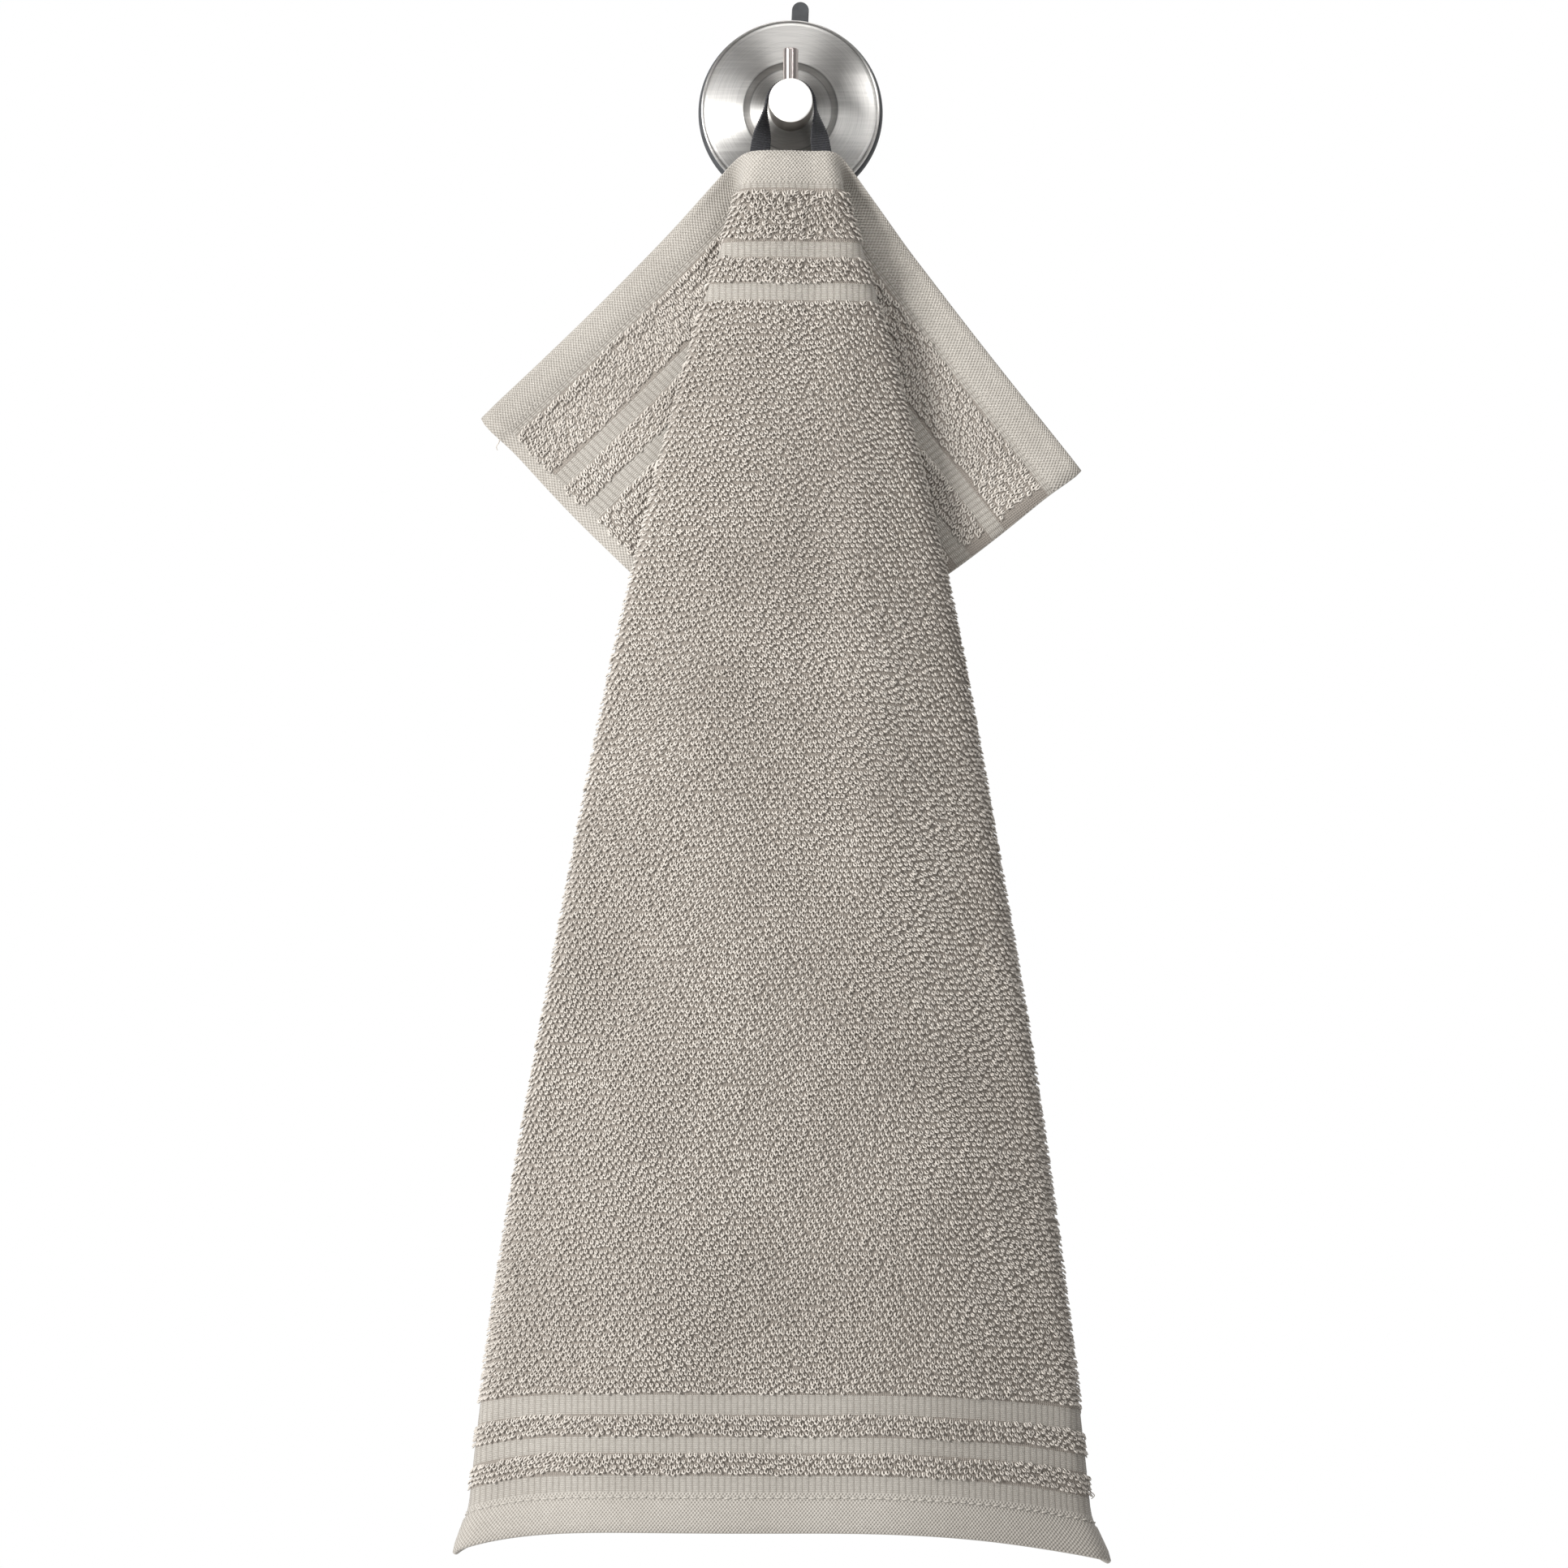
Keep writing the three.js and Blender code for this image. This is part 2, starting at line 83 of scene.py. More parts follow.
# Towel: rows of (down, degrees) for its lean, and of (down, out, wide, turn) for each fold
LENGTH = 496
TOP = (0.2, -24, -16.9)
LEAN = [(0, 4), (120, 3), (LENGTH, 1.5)]
LEFT = {
    "reach": [(0, 152.5), (100, 157), (250, 156), (LENGTH, 154)],
    "droop": 7.2,
    "bend": 6,
    "flare": 3.8,
    "lift": 7,
    "sag": 1.6,
    "end_rise": 0,
    "settle": 10.5,
    "crown": [(0, 12, 14, 12), (150, 24, 40, 12), (LENGTH, 62, 100, 17)],
    "ridge": [
        (0, 17, 19, 165),
        (60, 34.5, 9, 165),
        (180, 64.6, 10, 165),
        (240, 77.6, 13, 162),
        (300, 90.2, 16, 160),
        (430, 114.8, 24, 145),
        (484, 121, 24, 134),
        (LENGTH, 122, 24, 130),
    ],
    "valley": [(0, 17.5, 19, -178), (60, 65.5, 9, -178), (180, 160, 10, -178), (LENGTH, 405, 12, -178)],
}
RIGHT = {
    "reach": [(0, 164), (100, 167.5), (250, 165), (LENGTH, 161)],
    "droop": 13.5,
    "bend": 2.7,
    "flare": 5.4,
    "lift": 10,
    "sag": 0.4,
    "end_rise": 2.4,
    "settle": 10.3,
    "crown": [(0, 12, 13, 14), (70, 14, 18, 17), (150, 19, 26, 18), (LENGTH, 60, 100, 20)],
    "ridge": [
        (0, 17, 18, 162),
        (60, 36, 17, 162),
        (180, 68.3, 31, 162),
        (300, 90, 30, 160),
        (430, 108.6, 26, 150),
        (484, 114, 24, 145),
        (LENGTH, 115, 24, 143),
    ],
    "valley": [(0, 17.5, 18, -178), (60, 75, 9, -179), (180, 181, 10, -179), (LENGTH, 450, 12, -179)],
}
HANG = {"at": 115, "late": 4, "lifted": 30}
SAG = {"from": 25, "span": 120, "fade": 40}
END_RISE = {"from": 50, "span": 110, "fade": 120}
SETTLE = {"from": 14, "span": 48, "fade": 15}
TIP = {"start": 476, "late": 1.5, "panel": 20, "behind": 12}

# Unevenness of the cloth, forward and back
TROUGH = {"depth": 1.5, "at": 8, "wide": 6, "spread": 0.03, "full": 1.15, "fade": 330}
WAVE = {"height": 0.55, "across": 17, "along": 90, "down": 57, "shift": 1.3, "full": 80}
RIPPLE = {"height": 1.1, "across": 6.5, "shift": 0.8, "fade": 16}
RIPPLE_SPAN = {"from": 25, "rise": 12, "to": 75, "fall": 20}

# Bands from the top edge: name, distance down where it ends, thickness of the ground cloth
BANDS = [
    ("hem", 11.5, 2.4),
    ("plain", 13.5, 1.4),
    ("pile", 33, 1.2),
    ("stripe", 38.6, 1.4),
    ("pile", 48, 1.2),
    ("stripe", 54.3, 1.4),
    ("pile", 446.5, 1.2),
    ("stripe", 453.4, 1.4),
    ("pile", 461.4, 1.2),
    ("stripe", 467.1, 1.4),
    ("pile", 475.1, 1.2),
    ("stripe", 481.1, 1.4),
    ("seam", 484.5, 1.5),
    ("hem", LENGTH, 2.5),
]
SELVEDGE = 5
WALK_STEP = 0.5

# Grid of the cloth. Rows end a little before each change of band, and lie close where an end
# is rounded. Columns come once for so many millimetres or degrees of turning.
ROW_STEP = 3.3
BAND_CHANGE = 0.35
END_ROWS = (0.25, 0.7)
COLUMNS_A_SIDE = 78
COLUMN_EVERY = {"mm": 1.9, "degrees": 11}
SIDE_EDGE = {"in": 0.35, "thickness": 0.3, "bare": 0.6}
BAND_MATERIAL = {"hem": 0, "plain": 1, "stripe": 1, "seam": 0, "pile": 2}

# Pile loops: their size, and the spread of each measure about it
SEEN_LOOP = {"pitch": 1.82, "height": 1.15, "length": 1.35, "span": 0.92, "yarn": 0.38, "root": 0.4}
HIDDEN_LOOP = {"pitch": 3.3, "height": 1.0, "length": 3.2, "span": 1.7, "yarn": 0.78, "root": 0.4}
LOOP_SPREAD = {"height": (0.75, 1.25), "length": (0.75, 1.2), "span": (0.8, 1.2), "yarn": (0.88, 1.12)}
ARCH = [(-0.36, 0), (-0.52, 0.66), (0, 1), (0.52, 0.66), (0.36, 0)]
ARCH_LEAN = {"out": 0.6, "drop": 1.3}
LOOPS_A_PIECE = 8200
SEEN_SEED, HIDDEN_SEED, THREAD_SEED = 11, 23, 5

# How the loops lie: shares of the pitch that they stray by, how far they hang plumb, how they
# loosen about the top, lie flatter on the flaps, grow at a band's edges, and turn in patches
# (amount, across, down, shift)
JITTER = {"across": 0.16, "down": 0.3, "sway": 0.25, "sway_across": 9, "sway_down": 23}
PLUMB = 0.8
LOOSE = {"down": 42, "across": 36, "least": 0.35, "more": 0.8, "higher": 0.35, "longer": 0.55, "turn": 0.42}
FLAP = {"across": 52, "over": 20, "down": 65, "fade": 30, "lower": 0.3, "longer": 0.35, "thicker": 0.12}
BAND_EDGE = {"growth": 0.3, "fade": 1.1, "steady": 1.1}
COMB = [(0.28, 23, -61, 1), (0.22, 8, 15, 0)]

# A loop is kept where it can be seen: height it is looked at from, and least cosines
LOOK_FROM = 1.8
TO_CAMERA, TO_AROUND = -0.35, 0.1

# Rows of stitches: distance down, pitch, length, radius and height over the cloth's middle
STITCH_ROWS = [
    ("top_stitches", 10.6, 2.6, 1.3, 0.28, 1.1),
    ("bottom_stitches", 483.2, 3.0, 2.2, 0.34, 0.95),
]
STITCH_RING = 6
STITCH_ROUNDS = [(-0.5, 0.25), (-0.42, 0.8), (-0.15, 1), (0.15, 1), (0.42, 0.8), (0.5, 0.25)]
STITCH_STRAY = 0.12
STITCH_END = 1.5

# Stray yarns: half of the towel, distances down and out of the root, and the way it goes on
STRAY_YARNS = [
    ("stray_left", -1, 11, 152.6, [(0, 0, 0), (-0.5, -0.5, -1.6), (-1.3, -0.6, -3), (-0.9, -0.4, -4.3)]),
    ("stray_right", 1, 474, 112.5, [(0, 0, 0), (1.6, -0.3, 0.7), (2.6, -0.4, -0.3), (1.5, -0.3, -1.5)]),
]
STRAY_RADIUS, STRAY_TAPER = 0.24, 0.6


def ramp(x):
    """A soft step from 0 to 1 over x from -0.5 to 0.5."""
    x = np.clip(x + 0.5, 0, 1)
    return x * x * (3 - 2 * x)


def along(rows, column, down):
    """Height and slope, at distances down, of a smooth line through one column of a table."""
    rows = np.array(rows, float)
    at, value = rows[:, 0], rows[:, column]
    span = np.diff(at)
    rise = np.diff(value) / span
    inner = (rise[:-1] * span[1:] + rise[1:] * span[:-1]) / (span[1:] + span[:-1])
    tangent = np.concatenate([rise[:1], inner, rise[-1:]])
    k = np.clip(np.searchsorted(at, down, side="right") - 1, 0, len(span) - 1)
    t = (down - at[k]) / span[k]
    a, b = value[k], value[k + 1]
    ma, mb = tangent[k] * span[k], tangent[k + 1] * span[k]
    bend, twist = 3 * (b - a) - 2 * ma - mb, 2 * (a - b) + ma + mb
    return a + t * (ma + t * (bend + t * twist)), (ma + t * (2 * bend + 3 * t * twist)) / span[k]


def turned_about(vectors, axis, angle):
    """Vectors turned about an axis for each row, by an angle for each vector."""
    axis = np.broadcast_to(axis[:, None], vectors.shape)
    cos, sin = np.cos(angle)[..., None], np.sin(angle)[..., None]
    dot = (vectors * axis).sum(-1, keepdims=True)
    return vectors * cos + np.cross(axis, vectors) * sin + axis * dot * (1 - cos)


def middle_line(down):
    """Places on the towel's middle line, and the way down the cloth there."""
    fine = np.linspace(0, LENGTH, 993)
    lean = np.radians(along(LEAN, 1, fine)[0])
    lean = (lean[1:] + lean[:-1]) / 2
    step = fine[1]
    y = np.concatenate([[0], np.cumsum(-np.sin(lean) * step)])
    z = np.concatenate([[0], np.cumsum(-np.cos(lean) * step)])
    here = np.radians(along(LEAN, 1, down)[0])
    nothing = np.zeros_like(down)
    place = np.stack([nothing, np.interp(down, fine, y), np.interp(down, fine, z)], 1)
    return place, np.stack([nothing, -np.sin(here), -np.cos(here)], 1)


class Half:
    """One half of the towel, walked outward along its woven rows. At each fold the rows
    turn about the fold's line. Arrays hold a row for each distance down."""

    def __init__(self, side, sign, down):
        self.side, self.sign, self.down = side, sign, down
        self.reach = along(side["reach"], 1, down)[0]
        longest = self.reach.max()
        steps = round(longest / WALK_STEP)
        self.step = longest / steps
        out_at = np.linspace(0, longest, steps + 1)
        place, way = middle_line(down)
        outward = np.tile([-1.0, 0, 0], (len(down), 1))
        along_row = np.repeat(outward[:, None], steps + 1, 1)
        down_cloth = np.repeat(way[:, None], steps + 1, 1)
        self.turning = np.zeros((len(down), steps + 1))
        for fold in ("valley", "ridge", "crown"):
            line, slope = along(side[fold], 1, down)
            wide, turn = along(side[fold], 2, down)[0], along(side[fold], 3, down)[0]
            axis = slope[:, None] * outward + way
            axis /= np.linalg.norm(axis, axis=1, keepdims=True)
            share = ramp((out_at[None] - line[:, None]) / wide[:, None])
            angle = np.radians(turn)[:, None] * share
            self.turning[:, 1:] += np.abs(np.diff(angle, axis=1))
            along_row = turned_about(along_row, axis, angle)
            down_cloth = turned_about(down_cloth, axis, angle)
            if fold == "ridge":
                ridge = line
        path = np.cumsum((along_row[:, 1:] + along_row[:, :-1]) / 2 * self.step, axis=1)
        self.place = place[:, None] + np.concatenate([np.zeros_like(path[:, :1]), path], 1)
        self.hang(out_at[None], ridge[:, None], down[:, None])
        self.face = np.cross(along_row, down_cloth)
        if sign > 0:
            self.place[..., 0] *= -1
            self.face[..., 0] *= -1
            along_row[..., 0] *= -1
            down_cloth[..., 0] *= -1
        self.place += np.array(TOP)
        self.along_row, self.down_cloth = along_row, down_cloth

    def hang(self, out, ridge, down):
        """Sinks the cloth towards its sides, sets the top hem back on the flaps, and draws
        the lower hem's tips out."""
        side = self.side
        share = down / LENGTH
        past = ramp((out - ridge) / HANG["lifted"] - 0.5)
        low = side["droop"] * share ** HANG["late"] * (np.minimum(out, ridge) / HANG["at"]) ** side["bend"]
        bow = np.sin(np.pi * np.clip((out - SAG["from"]) / SAG["span"], 0, 1))
        sag = side["sag"] * bow * np.exp(-down / SAG["fade"])
        end = np.clip((out - END_RISE["from"]) / END_RISE["span"], 0, 1)
        rise = side["end_rise"] * end**2 * np.exp(-down / END_RISE["fade"])
        back = side["settle"] * np.clip(1 - down / SETTLE["fade"], 0, 1) ** 2
        self.place[..., 1] += back * ramp((out - SETTLE["from"]) / SETTLE["span"] - 0.5)
        self.place[..., 2] += side["lift"] * past * share**2 - low * (1 - past) - sag + rise
        wide = np.where(out < ridge, TIP["panel"], TIP["behind"])
        late = ramp((down - TIP["start"]) / (LENGTH - TIP["start"]) - 0.5) ** TIP["late"]
        tip = late * np.exp(-(((out - ridge) / wide) ** 2))
        self.place[..., 0] -= side["flare"] * tip

    def sample(self, rows, out):
        """Place, face direction, outward and downward directions at distances out on rows."""
        at = np.clip(out / self.step, 0, self.place.shape[1] - 1.001)
        k = at.astype(int)
        t = (at - k)[..., None]
        both = (self.place, self.face, self.along_row, self.down_cloth)
        place, *ways = (a[rows, k] * (1 - t) + a[rows, k + 1] * t for a in both)
        ways = [w / np.linalg.norm(w, axis=-1, keepdims=True) for w in ways]
        return (place + self.relief(self.down[rows], out)[..., None] * ways[0], *ways)

    def relief(self, down, out):
        """Small uneven swellings and hollows of the cloth, along its face direction."""
        across = out * self.sign
        wider = TROUGH["spread"] * down
        hollow = (across - TROUGH["at"] - wider) / (TROUGH["wide"] + wider)
        deep = np.clip(TROUGH["full"] - down / TROUGH["fade"], 0, 1)
        trough = -TROUGH["depth"] * np.exp(-(hollow**2)) * deep
        swell = np.sin(across / WAVE["across"] + down / WAVE["along"])
        swell = swell * np.sin(down / WAVE["down"] + WAVE["shift"])
        wave = WAVE["height"] * swell * np.clip(down / WAVE["full"], 0, 1)
        starts = np.clip((across - RIPPLE_SPAN["from"]) / RIPPLE_SPAN["rise"], 0, 1)
        ends = np.clip((RIPPLE_SPAN["to"] - across) / RIPPLE_SPAN["fall"], 0, 1)
        crimp = np.sin(across / RIPPLE["across"] + RIPPLE["shift"]) * np.exp(-down / RIPPLE["fade"])
        return trough + wave + RIPPLE["height"] * crimp * starts * ends


def new_object(name, verts, faces, material_index=None, uv=None):
    """A mesh object of its vertices, in metres, and its triangles or quads."""
    faces = np.asarray(faces)
    mesh = bpy.data.meshes.new(name)
    sides = faces.shape[1]
    mesh.vertices.add(len(verts))
    mesh.vertices.foreach_set("co", np.asarray(verts, np.float32).ravel())
    mesh.loops.add(faces.size)
    mesh.loops.foreach_set("vertex_index", faces.astype(np.int32).ravel())
    mesh.polygons.add(len(faces))
    mesh.polygons.foreach_set("loop_start", np.arange(0, faces.size, sides, dtype=np.int32))
    if material_index is not None:
        mesh.polygons.foreach_set("material_index", np.asarray(material_index, np.int32))
    mesh.polygons.foreach_set("use_smooth", np.full(len(faces), True))
    if uv is not None:
        layer = mesh.uv_layers.new(name="cloth")
        layer.data.foreach_set("uv", np.asarray(uv, np.float32)[faces.ravel()].ravel())
    mesh.update(calc_edges=True)
    obj = bpy.data.objects.new(name, mesh)
    bpy.context.scene.collection.objects.link(obj)
    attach(obj, BODY)
    return obj


def shell(name, sections):
    """A closed skin over sections of equal numbers of corners, each a ring."""
    sections = np.asarray(sections)
    count, corners = sections.shape[:2]
    row = np.arange(count - 1)[:, None] * corners
    here = row + np.arange(corners)
    after = row + (np.arange(corners) + 1) % corners
    faces = np.stack([here, after, after + corners, here + corners], -1)
    obj = new_object(name, sections.reshape(-1, 3) * MM, faces.reshape(-1, 4))
    bm = bmesh.new()
    bm.from_mesh(obj.data)
    bm.verts.ensure_lookup_table()
    bm.faces.new([bm.verts[i] for i in range(corners)])
    bm.faces.new([bm.verts[i] for i in range(count * corners - 1, (count - 1) * corners - 1, -1)])
    bmesh.ops.recalc_face_normals(bm, faces=bm.faces)
    bm.to_mesh(obj.data)
    bm.free()
    return obj


def rounded(profile, radius=0.35, steps=4):
    """A profile of (radius, distance) points with each corner between its ends rounded. A
    point just past each curve keeps the straight parts flat in the light."""
    # Largest share of a side that a curve takes, and how far past a curve that point lies
    most, past = 0.45, 0.1
    points = [np.array(p, float) for p in profile]
    out = [points[0]]
    for before, here, after in zip(points, points[1:], points[2:]):
        back, on = before - here, after - here
        size = min(radius, np.linalg.norm(back) * most, np.linalg.norm(on) * most)
        back, on = back / np.linalg.norm(back), on / np.linalg.norm(on)
        start, end = here + back * size, here + on * size
        out.append(start + back * size * past)
        for t in np.linspace(0, 1, steps + 1):
            out.append((1 - t) ** 2 * start + 2 * t * (1 - t) * here + t**2 * end)
        out.append(end + on * size * past)
    out.append(points[-1])
    return out


def lathe(name, profile, segments=160, upright_at=None):
    """A turned piece. Its axis points out from the wall, or stands upright at a depth. The
    profile's points on the axis are left out, and each end closes as a fan of triangles."""
    angles = np.linspace(0, 2 * math.pi, segments, endpoint=False)
    verts, faces = [], []
    profile = [p for p in profile if p[0] > 1e-6]
    ends = (profile[0][1], profile[-1][1])
    for radius, distance in profile:
        x, z = radius * np.sin(angles), radius * np.cos(angles)
        verts.append(np.stack([x, np.full(segments, -distance), z], 1))
    verts = np.concatenate(verts + [np.array([[0, -ends[0], 0], [0, -ends[1], 0]])])
    k = np.arange(segments)
    for row in range(len(profile) - 1):
        a, b = row * segments + k, row * segments + (k + 1) % segments
        faces.append(np.stack([a, b, b + segments, a + segments], 1))
    if upright_at is not None:
        verts = np.stack([verts[:, 0], verts[:, 2] - upright_at, -verts[:, 1]], 1)
    obj = new_object(name, verts * MM, np.concatenate(faces))
    bm = bmesh.new()
    bm.from_mesh(obj.data)
    bm.verts.ensure_lookup_table()
    hub = (len(verts) - 2, len(verts) - 1)
    last = (len(profile) - 1) * segments
    for a in range(segments):
        b = (a + 1) % segments
        bm.faces.new([bm.verts[i] for i in (b, a, hub[0])]).smooth = True
        bm.faces.new([bm.verts[i] for i in (last + a, last + b, hub[1])]).smooth = True
    bmesh.ops.recalc_face_normals(bm, faces=bm.faces)
    bm.to_mesh(obj.data)
    bm.free()
    return obj


class Nodes:
    """A material's node tree, filled by short calls."""

    def __init__(self, name, colour, roughness, metallic=0.0):
        self.material = bpy.data.materials.new(name)
        self.material.use_nodes = True
        self.tree = self.material.node_tree
        self.shader = self.tree.nodes["Principled BSDF"]
        self.shader.inputs["Base Color"].default_value = (*colour, 1)
        self.shader.inputs["Roughness"].default_value = roughness
        self.shader.inputs["Metallic"].default_value = metallic

    def node(self, kind, inputs=None, **settings):
        node = self.tree.nodes.new("ShaderNode" + kind)
        for key, value in settings.items():
            setattr(node, key, value)
        for key, value in (inputs or {}).items():
            self.put(value, node.inputs[key])
        return node

    def put(self, value, socket):
        if isinstance(value, bpy.types.NodeSocket):
            self.tree.links.new(value, socket)
        elif isinstance(value, bpy.types.Node):
            self.tree.links.new(next(out for out in value.outputs if out.enabled), socket)
        else:
            socket.default_value = value

    def maths(self, operation, *values):
        return self.node("Math", dict(enumerate(values)), operation=operation)

    def ramped(self, factor, low, high, start, end):
        """A colour between two, as the factor goes from start to end."""
        share = self.node("MapRange", {0: factor, 1: start, 2: end, 3: 0.0, 4: 1.0})
        mix = self.node("Mix", data_type="RGBA")
        self.put(share, mix.inputs[0])
        self.put((*low, 1), mix.inputs[6])
        self.put((*high, 1), mix.inputs[7])
        return mix.outputs[2]

    def bump(self, height, distance, strength=1.0, normal=None):
        node = self.node("Bump", {"Height": height, "Distance": distance, "Strength": strength})
        if normal is not None:
            self.put(normal, node.inputs["Normal"])
        return node.outputs[0]

    def set(self, **inputs):
        for key, value in inputs.items():
            self.put(value, self.shader.inputs[key.replace("_", " ")])
        return self.material


def place_of(nodes):
    return nodes.node("TexCoord").outputs["Object"]


def noise(nodes, scale, detail, vector=None):
    vector = place_of(nodes) if vector is None else vector
    return nodes.node("TexNoise", {"Vector": vector, "Scale": scale, "Detail": detail}).outputs["Fac"]


def cotton(name, low, high, weave=None):
    """Undyed cotton with uneven tone, and the weave's relief from a function of u and v. The relief also
    darkens the weave's hollows, as painted shade.
    """
    nodes = Nodes(name, high, 0.95)
    broad = nodes.maths("MULTIPLY", noise(nodes, scale=22, detail=3), 0.55)
    fine = nodes.maths("MULTIPLY", noise(nodes, scale=900, detail=2), 0.45)
    tone = nodes.maths("ADD", broad, fine)
    normal = nodes.bump(noise(nodes, scale=3500, detail=2), distance=0.00012, strength=0.6)
    if weave is not None:
        uv = nodes.node("SeparateXYZ", {0: nodes.node("UVMap", uv_map="cloth").outputs[0]})
        relief, depth = weave(nodes, uv.outputs[0], uv.outputs[1])
        normal = nodes.bump(relief, distance=depth, normal=normal)
        # Painted shade: the weave's relief darkens the colour in its grooves and hollows
        woven = nodes.maths("MULTIPLY", relief, 0.42)
        tone = nodes.maths("ADD", nodes.maths("MULTIPLY", tone, 0.45), woven)
    colour = nodes.ramped(tone, low, high, start=0.3, end=0.68)
    return nodes.set(Base_Color=colour, Normal=normal, Sheen_Weight=0.15, Sheen_Roughness=0.5,
                     Specular_IOR_Level=0.2)


def ribs(nodes, value, pitch):
    """Ridges from 0 to 1 across a distance, in millimetres."""
    wave = nodes.maths("SINE", nodes.maths("MULTIPLY", value, 2 * math.pi / pitch))
    return nodes.maths("MULTIPLY_ADD", wave, 0.5, 0.5)


def repp(nodes, u, v):
    """Wide columns of short dashes, with narrow grooves between. Like the other weaves, it
    gives a relief from 0 to 1 and its depth in metres."""
    column = nodes.maths("POWER", ribs(nodes, u, pitch=2.3), 0.22)
    dash = nodes.maths("MULTIPLY_ADD", ribs(nodes, v, pitch=0.66), 0.6, 0.4)
    return nodes.maths("MULTIPLY", column, dash), 0.00022


def knit(nodes, u, v):
    """Staggered rounded cells, as of a fine jersey."""
    wide, high = 1.25, 1.5
    across = nodes.maths("SINE", nodes.maths("MULTIPLY", u, 2 * math.pi / wide))
    down = nodes.maths("SINE", nodes.maths("MULTIPLY", v, 2 * math.pi / high))
    cells = nodes.maths("MULTIPLY_ADD", nodes.maths("MULTIPLY", across, down), 0.5, 0.5)
    return nodes.maths("POWER", cells, 0.7), 0.00032


def ground_weave(nodes, u, v):
    pitch = 0.8
    return nodes.maths("MULTIPLY", ribs(nodes, u, pitch), ribs(nodes, v, pitch)), 0.0002


def steel(name, colour, roughness, upright=False, shade_rings=((0, 1), (1, 1))):
    """Brushed stainless steel: circles about an axis, or lines along an upright pin. Circles take a factor on
    the colour for each radius in millimetres, which paints shade and reflection in rings."""
    nodes = Nodes(name, colour, roughness, 1.0)
    axes = nodes.node("SeparateXYZ", {0: place_of(nodes)})
    across, depth, up = axes.outputs[0], axes.outputs[1], axes.outputs[2]
    if upright:
        drawn = nodes.maths("MULTIPLY", up, 0.03)
        lines = nodes.node("CombineXYZ", {0: across, 1: depth, 2: drawn})
        grain = noise(nodes, scale=1300, detail=1, vector=lines)
    else:
        square = nodes.maths("ADD", nodes.maths("POWER", across, 2.0), nodes.maths("POWER", up, 2.0))
        radius = nodes.maths("POWER", square, 0.5)
        swirl = nodes.node("CombineXYZ", {0: radius, 1: nodes.maths("MULTIPLY", across, 0.012),
                                          2: nodes.maths("MULTIPLY", up, 0.012)})
        grain = noise(nodes, scale=5200, detail=3, vector=swirl)
    slanted = nodes.node("Mapping", {"Vector": place_of(nodes), "Rotation": (0, 0.6, 0),
                                     "Scale": (60, 60, 1500)})
    worn = noise(nodes, scale=1, detail=1, vector=slanted)
    worn = nodes.maths("POWER", worn, 12.0 if upright else 5.0)
    tone = nodes.maths("ADD", grain, nodes.maths("MULTIPLY", worn, 1.6))
    tangent = nodes.node("Tangent", direction_type="RADIAL", axis="Z" if upright else "Y")
    normal = nodes.bump(grain, distance=0.00003, strength=0.03 if upright else 0.5)
    rough = nodes.maths("MULTIPLY_ADD", worn, 0.3, roughness - 0.06)
    rough = nodes.maths("MULTIPLY_ADD", grain, 0.12, rough)
    low, high = [c * 0.8 for c in colour], [min(1, c * 1.06) for c in colour]
    brushed = nodes.ramped(tone, low, high, start=0.3, end=0.72)
    if not upright:
        # Rings of painted shade and painted reflection multiply the colour by radius
        bands = nodes.node("ValToRGB")
        stops = bands.color_ramp.elements
        reach = shade_rings[-1][0]
        while len(stops) < len(shade_rings):
            stops.new(0.5)
        for stop, (at, share) in zip(stops, shade_rings):
            stop.position = at / reach
            stop.color = (share, share * 0.985, share * 0.965, 1)
        nodes.put(nodes.maths("MULTIPLY", radius, 1 / (reach * MM)), bands.inputs[0])
        mix = nodes.node("Mix", data_type="RGBA", blend_type="MULTIPLY")
        nodes.put(1.0, mix.inputs[0])
        nodes.put(brushed, mix.inputs[6])
        nodes.put(bands.outputs[0], mix.inputs[7])
        brushed = mix.outputs[2]
    return nodes.set(Base_Color=brushed, Roughness=rough, Normal=normal, Anisotropic=0.94,
                     Anisotropic_Rotation=0.25, Tangent=tangent.outputs[0])


def rubber(name, colour, roughness):
    nodes = Nodes(name, colour, roughness)
    worn = noise(nodes, scale=260, detail=4)
    low, high = [c * 0.8 for c in colour], [c * 1.3 for c in colour]
    normal = nodes.bump(noise(nodes, scale=2600, detail=2), distance=0.00003, strength=0.5)
    return nodes.set(Base_Color=nodes.ramped(worn, low, high, start=0.3, end=0.7),
                     Roughness=nodes.maths("MULTIPLY_ADD", worn, 0.2, roughness - 0.1), Normal=normal)


def tape_cotton(name, low, high):
    nodes = Nodes(name, low, 0.9)
    fibre = noise(nodes, scale=1800, detail=3)
    normal = nodes.bump(noise(nodes, scale=3000, detail=2), distance=0.00008, strength=0.7)
    return nodes.set(Base_Color=nodes.ramped(fibre, low, high, start=0.3, end=0.7), Normal=normal,
                     Sheen_Weight=0.1)


def wearing(obj, *materials):
    for material in materials:
        obj.data.materials.append(material)
    return obj


